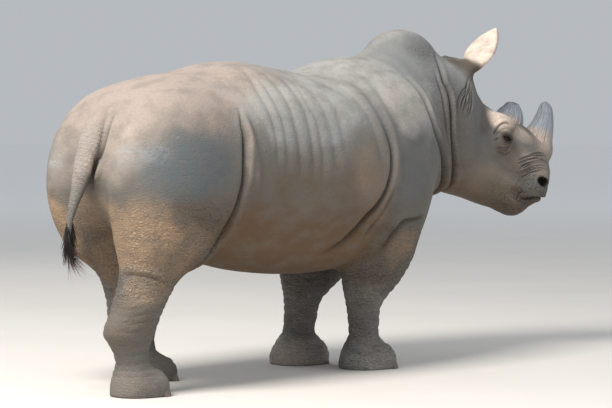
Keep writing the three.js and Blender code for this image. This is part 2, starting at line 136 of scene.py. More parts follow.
# Columns up the leg: place, front, back, half width, middle, side offset.
FRONT_LEG_ROWS = [
    [-30, 130, -128, 125, 0, 0],
    [40, 134, -134, 132, 0, 0],
    [105, 106, -113, 112, 0, 0],
    [165, 64, -85, 82, -10, 0],
    [235, 66, -88, 80, -12, 0],
    [325, 84, -102, 90, -10, 0],
    [430, 222, -130, 112, 30, 0],
    [560, 315, -155, 138, 70, -10],
    [700, 312, -230, 165, 50, -35],
    [860, 325, -220, 170, 60, -50],
    [1000, 280, -140, 130, 60, -50],
]
HIND_LEG_ROWS = [
    [-30, 122, -118, 115, 0, 0],
    [40, 128, -120, 121, 0, 0],
    [100, 84, -108, 104, -14, 0],
    [150, 50, -98, 82, -24, 0],
    [210, 48, -122, 80, -38, 0],
    [290, 88, -178, 95, -45, 0],
    [400, 142, -122, 108, 5, 0],
    [556, 240, -68, 128, 85, -5],
    [700, 340, -80, 165, 120, -15],
    [880, 400, -40, 160, 180, -20],
]
# Each leg: its table, where its foot stands (x, y), its lean, how far its shank is carried
# forward, and its girth.
LEGS = {
    "front_right": (FRONT_LEG_ROWS, 785, -215, 0, 0, 1),
    "front_left": (FRONT_LEG_ROWS, 710, 185, 0.12, 20, 1.07),
    "hind_right": (HIND_LEG_ROWS, -800, -215, 0, 0, 1),
    "hind_left": (HIND_LEG_ROWS, -345, 205, -0.37, 45, 1),
}
EAR_ROOT = (-82, 112, 132)
EAR_LENGTH = 288
# Columns: share of the ear's length, half width, half depth, how far forward and how far inward
# its middle lies. The cup is cut out of the leaf.
EAR_LEAF = [
    [-0.16, 58, 44, 0, 4],
    [0.01, 60, 44, 0, 4],
    [0.16, 72, 40, 3, -10],
    [0.34, 97, 33, 9, -2],
    [0.54, 95, 28, 10, 6],
    [0.74, 70, 24, 5, 4],
    [0.9, 34, 16, -1, -3],
    [1.0, 5, 5, -6, -8],
]
EAR_CUP = [
    [0.1, 20, 20, 28, -8],
    [0.27, 66, 46, 35, -4],
    [0.46, 88, 52, 43, 5],
    [0.64, 78, 48, 39, 6],
    [0.83, 45, 38, 31, 0],
    [1.02, 14, 18, 17, -8],
]
EARS = {
    "right": (1, (0.61, -0.22, 0.76), (0.95, -0.05, -0.45)),
    "left": (-1, (0.47, 0.86, -0.14), (0.55, -0.25, 0.78)),
}
TAIL_LINE = [
    (-745, 0, 1318),
    (-822, -8, 1254),
    (-884, -22, 1165),
    (-924, -24, 1081),
    (-955, -20, 1003),
    (-976, -13, 926),
    (-1000, -6, 848),
    (-1017, -2, 770),
    (-1023, 0, 672),
]
TAIL_GIRTH = [44, 54, 62, 54, 43, 31, 21, 14.5, 7]
# Each horn: its line's points (forward and up, in the head's directions), then rows of share of
# its length, half width and half length.
HORN_LINES = {
    "front": (
        [(520, -50), (520, 30), (512, 110), (492, 180), (458, 247)],
        [
            [0, 84, 101],
            [0.22, 78, 99],
            [0.42, 60, 76],
            [0.6, 48, 59],
            [0.78, 39, 46],
            [0.9, 31, 36],
            [1, 15, 18],
        ],
    ),
    "rear": (
        [(318, -20), (317, 45), (306, 98), (288, 145)],
        [[0, 60, 86], [0.33, 58, 86], [0.6, 49, 70], [0.82, 37, 50], [1, 20, 30]],
    ),
}
SIDES = {"right": 1, "left": -1}
EYE_AT = (292, 150, -79)
EYE_RADIUS = 21.0
LID_REACH, LID_OPEN = 25.0, 12.0
NOSTRIL_AT = (611, 128, -172)
# Each toe: its angle round the foot in degrees, its half width and its height.
TOES = {"middle": (0, 52, 62), "outer": (58, 40, 52), "inner": (-58, 40, 52)}


# ---------------------------------------------------------------- solid fields
# A field is negative inside the flesh. Near its surface it is about the distance in millimetres.
def smooth_table(rows, count=400):
    """A table's columns as smooth curves through its rows, finely sampled."""
    rows = np.array(rows, float)
    s = np.linspace(rows[0, 0], rows[-1, 0], count)
    i = np.clip(np.searchsorted(rows[:, 0], s, "right") - 1, 0, len(rows) - 2)
    a, b = rows[i], rows[i + 1]
    before, after = rows[np.maximum(i - 1, 0)], rows[np.minimum(i + 2, len(rows) - 1)]
    span = b[:, :1] - a[:, :1]
    t = (s[:, None] - a[:, :1]) / span
    m0 = (b - before) / (b[:, :1] - before[:, :1]) * span
    m1 = (after - a) / (after[:, :1] - a[:, :1]) * span
    out = (2 * t**3 - 3 * t**2 + 1) * a + (3 * t**2 - 2 * t**3) * b
    out += (t**3 - 2 * t**2 + t) * m0 + (t**3 - t**2) * m1
    out[:, 0] = s
    return out


def blend(a, b, k):
    """The lower of two fields, rounded over the distance k where they meet."""
    h = np.maximum(k - np.abs(a - b), 0) / k
    return np.minimum(a, b) - h * h * k / 4


def step(v, low, high):
    """Rises smoothly from 0 at low to 1 at high."""
    t = np.clip((v - low) / (high - low), 0, 1)
    return t * t * (3 - 2 * t)


class Mass:
    """A field that is only worked out near its own box."""

    MARGIN = 260.0

    def __init__(self, axes, low, high, rule, soft):
        corners = np.array(
            [[(low, high)[(c >> axis) & 1][axis] for axis in range(3)] for c in range(8)]
        )
        placed = axes.out(corners)
        self.low = placed.min(0) - self.MARGIN
        self.high = placed.max(0) + self.MARGIN
        self.axes, self.rule, self.soft = axes, rule, soft

    def near(self, p):
        return np.flatnonzero(((p > self.low) & (p < self.high)).all(1))

    def field(self, p):
        return self.rule(self.axes.local(p).T)


def tube(axes, rows, power, soft):
    """A limb or trunk through sections along an axis."""
    table = smooth_table(rows)
    first, last = table[0, 0], table[-1, 0]

    def rule(q):
        s, y, z = q
        inside = np.clip(s, first, last)
        high, low, half, level, offset = (
            np.interp(inside, table[:, 0], table[:, k]) for k in range(1, 6)
        )
        tall = np.where(z > level, high - level, level - low)
        ry, rz = np.abs(y - offset) / half, np.abs(z - level) / tall
        k = (ry**power + rz**power) ** (1 / power)
        safe = np.maximum(k, 1e-6)
        gradient = np.hypot((ry / safe) ** (power - 1) / half, (rz / safe) ** (power - 1) / tall)
        d = (k - 1) / np.maximum(gradient, 1 / np.maximum(half, tall))
        end = np.maximum(first - s, s - last)
        return np.where(end > 0, np.hypot(np.maximum(d, 0), end), np.maximum(d, end))

    low = [first, (table[:, 5] - table[:, 3]).min(), table[:, 2].min()]
    high = [last, (table[:, 5] + table[:, 3]).max(), table[:, 1].max()]
    return Mass(axes, low, high, rule, soft)


def ellipsoid(axes, centre, radii, soft):
    """A rounded mass."""
    c, r = np.array(centre, float)[:, None], np.array(radii, float)[:, None]

    def rule(q):
        k0 = np.linalg.norm((q - c) / r, axis=0)
        k1 = np.linalg.norm((q - c) / r**2, axis=0)
        return np.where(k0 < 1e-6, -r.min(), k0 * (k0 - 1) / np.maximum(k1, 1e-9))

    return Mass(axes, c[:, 0] - r[:, 0], c[:, 0] + r[:, 0], rule, soft)


def leg_mass(rows, x, y, lean, carry, girth):
    """A leg's tube: its table leaned and carried to where its foot stands."""
    placed = []
    for z, front, back, half, middle, out in rows:
        shift = x + lean * z * math.sqrt(max(z, 0) / 500)
        shift += carry * math.exp(-(((z - 300) / 140) ** 2))
        middle_y = y - math.copysign(out, y * (1 if out >= 0 else -1))
        ends = [front * girth + shift, back * girth + shift]
        placed.append([z, *ends, half * girth, middle + shift, middle_y])
    return tube(LEG, placed, 2.15, 70)


def ear_axes(side, aim, opening):
    up = unit(aim)
    front = unit(np.array(opening) - np.dot(opening, up) * up)
    root = HEAD.out([EAR_ROOT[0], side * EAR_ROOT[1], EAR_ROOT[2]])
    return Axes(up, np.cross(up, front), front, root)


def ear_tube(ear, rows, soft):
    side = ear[0]
    placed = [[s * EAR_LENGTH, f + d, f - d, w, f, inward * side] for s, w, d, f, inward in rows]
    return tube(ear_axes(*ear), placed, 2.0, soft)


def tail_mass():
    line = np.array(TAIL_LINE, float)
    slope = np.gradient(line, axis=0)
    lean = np.linalg.norm(slope, axis=1) / np.abs(slope[:, 2])
    rows = [[z, x + g * c, x - g * c, g, x, y] for (x, y, z), g, c in zip(line, TAIL_GIRTH, lean)]
    return tube(LEG, rows[::-1], 2.0, 12)


def head_axes(place, side):
    """The head's directions at a place on one of its sides."""
    return Axes(AHEAD, RIGHT * side, BROW, HEAD.out(np.multiply(place, [1, side, 1])))


def eye_opening(side):
    """The gap between the lids: an almond seen from outside, round the eyeball behind it."""

    def rule(q):
        a, out, up = q
        bent = up + 3 - 0.05 * a
        almond = np.abs(bent) - LID_OPEN * (1 - np.clip(np.abs(a) / LID_REACH, 0, 1) ** 2)
        gap = np.maximum(np.maximum(almond, np.abs(a) - (LID_REACH - 1)), -out)
        ball = np.linalg.norm(q, axis=0) - (EYE_RADIUS + 0.6)
        return np.minimum(gap, ball)

    return Mass(head_axes(EYE_AT, side), [-26, -24, -26], [26, 60, 26], rule, 5)


def toe_spots():
    """Each toe's own directions, its half width and its height, leg by leg."""
    spots = []
    for rows, x, y, *_ in LEGS.values():
        front, half = rows[1][1], rows[1][3]
        for angle, wide, high in TOES.values():
            turn = math.radians(angle) * math.copysign(1, y)
            c, s = math.cos(turn), math.sin(turn)
            at = (x + c * (front - 26), y + s * (half - 24), 0)
            spots.append((Axes([c, s, 0], [-s, c, 0], [0, 0, 1], at), wide, high))
    return spots


def flesh_masses():
    joined = [
        *(ellipsoid(foot, (0, 0, 52), (46, wide * 0.92, 56), 22) for foot, wide, _ in toe_spots()),
        tube(BODY, TRUNK_ROWS, 2.35, 1),
        tube(BODY, NECK_ROWS, 2.2, 90),
        ellipsoid(BODY, (1304, -5, 1478), (284, 188, 264), 45),
        ellipsoid(BODY, (-585, -222, 965), (345, 245, 425), 90),
        ellipsoid(BODY, (-552, 217, 965), (355, 240, 425), 90),
        ellipsoid(BODY, (922, -265, 1020), (272, 180, 420), 110),
        ellipsoid(BODY, (922, 265, 1020), (272, 180, 420), 110),
        *(leg_mass(*leg) for leg in LEGS.values()),
        tube(HEAD, HEAD_ROWS, 2.25, 60),
        *(ellipsoid(HEAD, (160, s * 95, -290), (190, 100, 180), 60) for s in (1, -1)),
        *(ellipsoid(HEAD, (255, s * 108, -5), (80, 52, 42), 40) for s in (1, -1)),
        ellipsoid(HEAD, (512, 0, -10), (118, 92, 60), 40),
        ellipsoid(HEAD, (564, 0, 0), (58, 84, 80), 34),
        ellipsoid(HEAD, (602, 0, -222), (88, 143, 76), 40),
        ellipsoid(HEAD, (540, 0, -335), (95, 112, 78), 40),
        tail_mass(),
    ]
    cut = []
    for ear in EARS.values():
        joined.append(ear_tube(ear, EAR_LEAF, 30))
        cut.append(ear_tube(ear, EAR_CUP, 7))
    for side in SIDES.values():
        joined.append(ellipsoid(head_axes(EYE_AT, side), (0, -3, 0), (44, 27, 34), 22))
        cut.append(eye_opening(side))
        rim = head_axes(NOSTRIL_AT, side)
        joined.append(ellipsoid(rim, (-8, -16, 26), (42, 25, 19), 26))
        cut.append(ellipsoid(rim, (0, 2, 0), (33, 38, 22), 12))
    return joined, cut


JOINED, CUT = flesh_masses()


def flesh_here(p):
    d = np.full(len(p), 400.0)
    for mass in JOINED:
        i = mass.near(p)
        if len(i):
            d[i] = blend(d[i], mass.field(p[i]), mass.soft)
    for mass in CUT:
        i = mass.near(p)
        if len(i):
            d[i] = -blend(-d[i], mass.field(p[i]), mass.soft)
    return -blend(-d, p[:, 2], 8.0)


def flesh(p):
    """The whole body's field at many points, worked out in parallel blocks."""
    parts = np.array_split(p, max(1, len(p) // 40000))
    with ThreadPoolExecutor(4) as pool:
        return np.concatenate(list(pool.map(flesh_here, parts)))


def slope_of(p, value):
    """The field's direction of increase."""
    return np.stack([flesh(p + e) - value for e in np.eye(3)], 1)


def settle(p, rounds, most):
    """Slides points along the field's slope onto the surface."""
    for _ in range(rounds):
        value = flesh(p)
        g = slope_of(p, value)
        steep = np.maximum((g * g).sum(1), 0.2)
        p = p - g * (np.clip(value, -most, most) / steep)[:, None]
    return p


# ---------------------------------------------------------------- from the field to one closed mesh
class Lattice:
    """Space drawn together round the face, so that an even lattice gives finer cells there."""

    NEAR, INNER, OUTER = 0.42, 950.0, 1650.0

    def __init__(self):
        self.focus = HEAD.out([270, 20, -130])
        r = np.linspace(0, 8000, 8001)
        c, a, b = self.NEAR, self.INNER, self.OUTER
        mid = np.clip(r, a, b) - a
        reach = c * np.minimum(r, b) + (1 - c) * mid**2 / (2 * (b - a)) + np.maximum(r - b, 0)
        self.r, self.reach = r, reach
        self.rate = np.gradient(reach, r)

    def place(self, q):
        r = np.maximum(np.linalg.norm(q, axis=1), 1e-6)
        return self.focus + q * (np.interp(r, self.r, self.reach) / r)[:, None]

    def unplace(self, p):
        d = p - self.focus
        n = np.maximum(np.linalg.norm(d, axis=1), 1e-6)
        return d * (np.interp(n, self.reach, self.r) / n)[:, None]

    def scale(self, q):
        r = np.maximum(np.linalg.norm(q, axis=1), 1e-6)
        return np.maximum(np.interp(r, self.r, self.rate), np.interp(r, self.r, self.reach) / r)


CORNERS = np.array([[c & 1, (c >> 1) & 1, (c >> 2) & 1] for c in range(8)])
EDGES = [(m, n) for m in range(8) for n in range(m + 1, 8) if (m ^ n) in (1, 2, 4)]


def body_net(cell):
    """Surface nets over the cells that the skin crosses: points in millimetres, and quads."""
    lattice = Lattice()
    span = np.stack(
        np.meshgrid(
            np.linspace(-1120, 2420, 12), np.linspace(-700, 700, 12), np.linspace(-60, 1800, 12)
        ),
        -1,
    ).reshape(-1, 3)
    q = lattice.unplace(span)
    size = cell * 8
    low = q.min(0) - size
    count = np.ceil((q.max(0) + size - low) / size).astype(int)
    ids = np.stack(np.meshgrid(*(np.arange(n) for n in count), indexing="ij"), -1).reshape(-1, 3)
    while True:
        centre = low + (ids + 0.5) * size
        value = flesh(lattice.place(centre))
        ids = ids[np.abs(value) < 1.9 * size * lattice.scale(centre)]
        if size <= cell * 1.01:
            break
        ids = (ids[:, None] * 2 + CORNERS).reshape(-1, 3)
        size /= 2
    base = np.array([1, 8192, 8192 * 8192])
    keys, order = np.unique(ids @ base, return_index=True)
    ids = ids[order]
    corner_keys = keys[:, None] + CORNERS @ base
    spots, where = np.unique(corner_keys, return_inverse=True)
    where = where.reshape(corner_keys.shape)
    grid = np.stack([spots % 8192, spots // 8192 % 8192, spots // 8192**2], 1)
    values = np.concatenate(
        [flesh(lattice.place(low + part * size)) for part in np.array_split(grid, 8)]
    )
    held = values[where]
    crossed = (held < 0).any(1) & (held >= 0).any(1)
    keys, ids, held = keys[crossed], ids[crossed], held[crossed]
    total, hits = np.zeros((len(ids), 3)), np.zeros(len(ids))
    for m, n in EDGES:
        cut = (held[:, m] < 0) != (held[:, n] < 0)
        t = held[cut, m] / (held[cut, m] - held[cut, n])
        total[cut] += CORNERS[m] + t[:, None] * (CORNERS[n] - CORNERS[m])
        hits[cut] += 1
    points = lattice.place(low + (ids + total / hits[:, None]) * size)
    quads, missed = [], 0
    for axis in range(3):
        far = 1 << axis
        cut = np.flatnonzero((held[:, 0] < 0) != (held[:, far] < 0))
        b, c = base[(axis + 1) % 3], base[(axis + 2) % 3]
        around = keys[cut, None] + np.array([-b - c, -c, 0, -b])
        index = np.minimum(np.searchsorted(keys, around), len(keys) - 1)
        whole = (keys[index] == around).all(1)
        missed += np.count_nonzero(~whole)
        quad = np.where((held[cut, 0] < 0)[:, None], index, index[:, ::-1])
        quads.append(quad[whole])
    if missed:
        raise RuntimeError(f"the lattice misses {missed} faces")
    return points, np.concatenate(quads)


def eased(points, quads, weight=0.5):
    """Each point drawn towards the mean of its neighbours."""
    ends = np.concatenate([quads, np.roll(quads, 1, 1)]).ravel()
    others = np.concatenate([np.roll(quads, 1, 1), quads]).ravel()
    n = np.bincount(ends, minlength=len(points))
    mean = np.stack(
        [np.bincount(ends, points[others, k], len(points)) / np.maximum(n, 1) for k in range(3)], 1
    )
    return points + (mean - points) * weight


def normals_of(points, quads):
    a, b, c, d = (points[quads[:, k]] for k in range(4))
    face = np.cross(c - a, d - b)
    out = np.stack(
        [
            sum(np.bincount(quads[:, k], face[:, axis], len(points)) for k in range(4))
            for axis in range(3)
        ],
        1,
    )
    return out / np.maximum(np.linalg.norm(out, axis=1), 1e-9)[:, None]


# ---------------------------------------------------------------- patterns
def hashed(i, j, k, seed):
    """A random value from 0 to 1 for each cell."""
    h = (
        i.astype(np.uint32) * np.uint32(73856093)
        ^ j.astype(np.uint32) * np.uint32(19349663)
        ^ k.astype(np.uint32) * np.uint32(83492791)
        ^ np.uint32(seed * 2654435 % 4294967291)
    )
    h ^= h >> np.uint32(15)
    h *= np.uint32(2246822519)
    h ^= h >> np.uint32(13)
    return h.astype(float) / 4294967295.0


def noise(p, size, seed=1):
    """Smooth random values between -1 and 1, with features of the given size or sizes."""
    q = p / np.asarray(size, float)
    cell = np.floor(q).astype(np.int64)
    f = q - cell
    f = f * f * (3 - 2 * f)
    out = np.zeros(len(p))
    for c in CORNERS:
        w = np.prod(np.where(c, f, 1 - f), axis=1)
        out += w * hashed(cell[:, 0] + c[0], cell[:, 1] + c[1], cell[:, 2] + c[2], seed)
    return out * 2 - 1


def layered(p, size, seed=1, levels=3):
    """Noise at several sizes together."""
    size = np.asarray(size, float)
    return sum(noise(p, size / 2**n, seed + n) / 2**n for n in range(levels)) / 1.6


def near(p, centre, radii):
    """1 at a place, falling off to 0 beyond the radii."""
    q = (p - np.asarray(centre, float)) / np.asarray(radii, float)
    return np.exp(-(q * q).sum(1))


# ---------------------------------------------------------------- folds
# Folds of the body: depth, half width, roll height, roll offset to the left of the run, how many
# sides of the body have it, and its run. All are drawn on the right side.
FOLDS = {
    "flank": (
        30, 9, 17, 30, 2,
        [
            (-300, -375, 1325), (-304, -389, 1292), (-314, -412, 1238), (-315, -430, 1180),
            (-323, -442, 1115), (-332, -447, 1038), (-338, -448, 974), (-353, -441, 911),
            (-378, -420, 821), (-420, -399, 744), (-458, -374, 669), (-482, -324, 599),
            (-540, -300, 560),
        ],
    ),
    "flank_second": (
        7, 18, 9, -36, 2,
        [
            (-290, -385, 1320), (-274, -399, 1283), (-254, -426, 1231), (-242, -450, 1141),
            (-230, -460, 1050), (-225, -461, 972), (-224, -455, 900),
        ],
    ),
    "rib_zero": (
        5, 20, 3, 36, 2,
        [
            (-270, -360, 1350), (-254, -380, 1325), (-212, -404, 1297), (-187, -432, 1245),
            (-169, -453, 1180), (-165, -462, 1100),
        ],
    ),
    "rib_first": (
        9, 17, 5, 36, 2,
        [
            (-80, -180, 1510), (-107, -225, 1494), (-127, -295, 1449), (-144, -356, 1389),
            (-137, -404, 1323), (-131, -439, 1251), (-128, -458, 1186), (-131, -470, 1114),
            (-135, -472, 1040),
        ],
    ),
    "rib_second": (
        7, 18, 4, 36, 2,
        [
            (-80, -230, 1495), (-86, -276, 1470), (-88, -348, 1409), (-80, -413, 1323),
            (-74, -447, 1246), (-75, -471, 1153), (-75, -481, 1076), (-78, -486, 990),
        ],
    ),
    "rib_third": (
        6, 18, 4, 36, 2,
        [
            (-20, -240, 1490), (-10, -303, 1456), (-3, -367, 1397), (2, -426, 1311),
            (0, -463, 1218), (1, -484, 1128), (3, -492, 1043), (3, -497, 960),
        ],
    ),
    "rib_fourth": (
        7, 18, 4, 36, 2,
        [
            (70, -250, 1480), (80, -310, 1448), (88, -373, 1391), (95, -430, 1312),
            (89, -471, 1218), (86, -492, 1127), (83, -502, 1042), (80, -506, 970),
        ],
    ),
    "rib_fifth": (
        6, 18, 4, 36, 2,
        [
            (131, -290, 1460), (131, -342, 1420), (131, -423, 1325), (147, -463, 1246),
            (144, -492, 1152), (143, -503, 1086), (140, -508, 1008), (138, -510, 930),
        ],
    ),
    "rib_sixth": (
        4, 22, 3, 40, 2,
        [
            (215, -340, 1410), (225, -400, 1350), (230, -450, 1260), (232, -490, 1150),
            (228, -505, 1050), (226, -512, 980),
        ],
    ),
    "rib_seventh": (
        4, 24, 3, 44, 2,
        [
            (310, -330, 1410), (318, -394, 1354), (318, -446, 1281), (306, -480, 1200),
            (299, -495, 1160), (300, -505, 1060),
        ],
    ),
    "triceps": (
        8, 26, 6, 48, 2,
        [
            (568, -203, 1478), (609, -294, 1442), (632, -406, 1329), (671, -462, 1193),
            (686, -477, 1109), (690, -480, 1050),
        ],
    ),
    "triceps_second": (
        6, 26, 5, 48, 2,
        [
            (480, -270, 1450), (502, -316, 1411), (549, -422, 1302), (570, -476, 1178),
            (598, -497, 1041), (610, -495, 958),
        ],
    ),
    "elbow": (
        34, 9, 18, 34, 2,
        [
            (640, -440, 1240), (671, -462, 1193), (686, -477, 1109), (680, -482, 1059),
            (665, -488, 985), (621, -496, 904), (544, -499, 830), (474, -497, 785),
            (405, -475, 719), (346, -438, 659), (288, -399, 620), (247, -364, 593),
        ],
    ),
    "elbow_second": (
        12, 9, 8, 26, 2,
        [
            (690, -470, 930), (640, -480, 870), (580, -480, 800), (530, -465, 735),
            (500, -440, 670),
        ],
    ),
    "blade": (
        6, 30, 4, 54, 2,
        [
            (690, -300, 1460), (709, -346, 1417), (725, -419, 1308), (755, -449, 1224),
            (752, -462, 1167), (740, -465, 1100),
        ],
    ),
    "shoulder": (
        30, 11, 16, 34, 2,
        [
            (1010, -270, 1490), (1044, -321, 1440), (1081, -357, 1376), (1101, -386, 1291),
            (1138, -393, 1205), (1230, -356, 1119), (1303, -309, 1016), (1368, -245, 925),
            (1400, -150, 862), (1415, 0, 845),
        ],
    ),
    "shoulder_second": (
        8, 10, 5, 26, 2,
        [
            (1133, -290, 1445), (1150, -320, 1380), (1185, -345, 1290), (1240, -345, 1190),
            (1300, -325, 1090),
        ],
    ),
    "neck": (
        26, 9, 12, 26, 2,
        [
            (1425, -100, 1600), (1412, -181, 1573), (1383, -225, 1514), (1359, -262, 1460),
            (1375, -282, 1408), (1366, -308, 1318), (1350, -321, 1203), (1380, -312, 1087),
            (1437, -266, 981), (1500, -200, 915), (1530, -90, 880),
        ],
    ),
    "neck_second": (
        12, 8, 6, 22, 2,
        [
            (1330, -225, 1530), (1312, -260, 1470), (1310, -300, 1400), (1305, -325, 1310),
            (1308, -335, 1210), (1325, -325, 1120),
        ],
    ),
    "elbow_top": (
        16, 10, 9, 24, 2,
        [
            (1040, -410, 772), (990, -430, 768), (913, -441, 757), (818, -446, 748),
            (763, -429, 698), (739, -404, 650), (713, -354, 579),
        ],
    ),
    "haunch_low": (
        8, 9, 6, 20, 0,
        [
            (-865, -185, 548), (-865, -250, 555), (-841, -297, 551), (-806, -326, 542),
            (-758, -340, 527), (-700, -345, 515),
        ],
    ),
    "tail_side": (
        24, 9, 10, 26, 0,
        [
            (-826, -86, 1275), (-840, -91, 1249), (-869, -98, 1199), (-897, -96, 1117),
            (-913, -70, 1049), (-907, -40, 980), (-895, -20, 930),
        ],
    ),
}
# Fans of fine folds: depth, half width, roll height, roll offset, how many, first run, last run.
FANS = {
    "ear": (
        9, 4.5, 3.5, 9, 10,
        [
            (1600, -240, 1505), (1575, -253, 1482), (1528, -277, 1436), (1461, -292, 1388),
            (1420, -301, 1340), (1400, -310, 1280),
        ],
        [
            (1612, -262, 1452), (1590, -280, 1415), (1568, -291, 1375), (1545, -300, 1330),
            (1530, -305, 1290), (1520, -308, 1250),
        ],
    ),
    "muzzle": (
        7.5, 3.4, 3, 6, 11,
        [
            (1873, -340, 1040), (1917, -356, 1060), (1964, -368, 1075), (2042, -385, 1084),
            (2103, -389, 1062),
        ],
        [
            (1915, -348, 950), (1950, -368, 970), (1987, -384, 983), (2036, -402, 985),
            (2069, -412, 967),
        ],
    ),
    "lid": (
        6, 3.2, 2.5, 6, 6,
        [
            (1746, -309, 1130), (1770, -312, 1118), (1795, -316, 1112), (1822, -322, 1114),
            (1847, -329, 1124),
        ],
        [
            (1748, -310, 1094), (1778, -314, 1077), (1805, -318, 1072), (1836, -326, 1076),
            (1862, -334, 1086),
        ],
    ),
}
# Single folds of the head: depth, half width, roll height, roll offset and run.
HEAD_FOLDS = {
    "brow": (
        10, 5, 5, 12,
        [
            (1745, -288, 1180), (1752, -290, 1190), (1764, -295, 1203), (1788, -303, 1233),
            (1808, -325, 1245), (1835, -338, 1230),
        ],
    ),
    "brow_second": (
        5, 4, 2, 8,
        [
            (1762, -293, 1176), (1778, -300, 1192), (1800, -312, 1210), (1822, -326, 1216),
        ],
    ),
    "eye_back": (
        6, 5, 2, 10,
        [
            (1735, -305, 1152), (1760, -306, 1158), (1784, -308, 1164),
        ],
    ),
    "mouth": (
        20, 7, 7, 16,
        [
            (1912, -340, 856), (1918, -343, 847), (1931, -348, 836), (1964, -361, 834),
            (1991, -386, 838), (2027, -395, 836), (2070, -385, 832), (2110, -340, 832),
            (2135, -280, 840),
        ],
    ),
    "lip_corner": (
        8, 6, 4, 12,
        [
            (1935, -350, 880), (1918, -344, 862), (1905, -338, 842), (1903, -334, 822),
        ],
    ),
}


def fan(count, first, last):
    """Evenly spread runs from the first to the last, each with its own wander."""
    first, last = (run_through(run, 14.0) for run in (first, last))
    steps = np.linspace(0, 1, 40)
    a, b = (
        np.stack([np.interp(steps, np.linspace(0, 1, len(run)), run[:, k]) for k in range(3)], 1)
        for run in (first, last)
    )
    for n in range(count):
        share = n / (count - 1)
        run = a + (b - a) * share
        wander = np.stack([noise(run + 900 * n, 70, 80 + k) for k in range(3)], 1)
        start, end = int(3 + 3 * math.sin(n * 2.3)), int(37 + 3 * math.sin(n * 1.7 + 1))
        yield (run + wander * 7)[start:end]


def run_through(points, spacing=9.0):
    """Evenly spaced points on a smooth line."""
    p = np.array(points, float)
    t = np.concatenate([[0], np.cumsum(np.linalg.norm(np.diff(p, axis=0), axis=1))])
    rows = smooth_table(np.column_stack([t, p]), max(int(t[-1] / spacing), 4))
    return rows[:, 1:]


class Folds:
    """Adds creases with rolled lips to a field of heights over the skin, and paints shade into the
    creases.
    """

    def __init__(self, points, normals):
        self.points, self.normals = points, normals
        self.height, self.shade, self.lips = (np.zeros(len(points)) for _ in range(3))

    def add(self, run, depth, width, roll, offset):
        """A crease with one rolled lip; it thins out towards both ends."""
        run = settle(run_through(run), 4, 40)
        reach = abs(offset) * 2.2 + width * 2 + 20
        i = np.flatnonzero(
            ((self.points > run.min(0) - reach) & (self.points < run.max(0) + reach)).all(1)
        )
        along = np.gradient(run, axis=0)
        along /= np.linalg.norm(along, axis=1)[:, None]
        share = np.linspace(0, 1, len(run))
        fade = np.minimum(1, np.sin(np.pi * share) ** 0.8 * 1.35)
        for part in np.array_split(i, max(1, len(i) * len(run) // 4000000 + 1)):
            away = self.points[part, None] - run[None]
            far = np.einsum("ijk,ijk->ij", away, away)
            m = far.argmin(1)
            d = away[np.arange(len(part)), m]
            d = d - along[m] * (d * along[m]).sum(1)[:, None]
            side = np.cross(along[m], self.normals[part])
            s = (d * side).sum(1)
            gap = np.sqrt(far[np.arange(len(part)), m])
            close = step(gap, reach, reach * 0.6) * fade[m]
            crease = np.exp(-np.abs(s / width) ** 1.3) * close
            lip = np.exp(-(((s + offset) / (abs(offset) * 0.85)) ** 2)) * close
            self.height[part] += roll * lip - depth * crease
            self.lips[part] = np.maximum(self.lips[part], lip * min(1, roll / 8))
            # Painted shade in the crease: deeper and narrower folds are painted darker.
            dark = min(1, max(0, depth - 4) / 16 * 9 / width)
            self.shade[part] = np.maximum(self.shade[part], crease * dark)


def mirrored(run):
    return [(x, -y, z) for x, y, z in run]


def mirrored_head(run):
    return HEAD.out(HEAD.local(np.array(run, float)) * [1, -1, 1])


def both_sides(p):
    """The same points with their distance from the middle plane instead of their side."""
    return np.abs(p * [0, 1, 0]) + p * [1, 0, 1]


RING_LEVELS = {
    "front": (98, 128, 160, 205, 262, 300, 338, 372, 405, 440, 478, 520),
    "hind": (92, 120, 150, 196, 250, 305, 345, 380, 412, 452, 500),
}
RING_DEPTH, RING_WIDTH = 5, 7


def leg_rings(p, name):
    """Uneven creases round a leg, at the heights that its pair has."""
    _, x, y, *_ = LEGS[name]
    mine = near(p * [1, 1, 0], (x + 10, y, 0), (230, 170, 1)) > 0.12
    out = np.zeros(len(p))
    q = p[mine]
    wave = 14 * noise(q, (90, 90, 400), 31) + 5 * noise(q, (35, 35, 200), 33)
    total = np.zeros(len(q))
    for level in RING_LEVELS[name.split("_")[0]]:
        total += np.exp(-np.abs((q[:, 2] - level + wave) / RING_WIDTH) ** 1.5)
    out[mine] = -RING_DEPTH * np.clip(total, 0, 1) * (0.6 + 0.6 * noise(q, (80, 80, 60), 35))
    return out


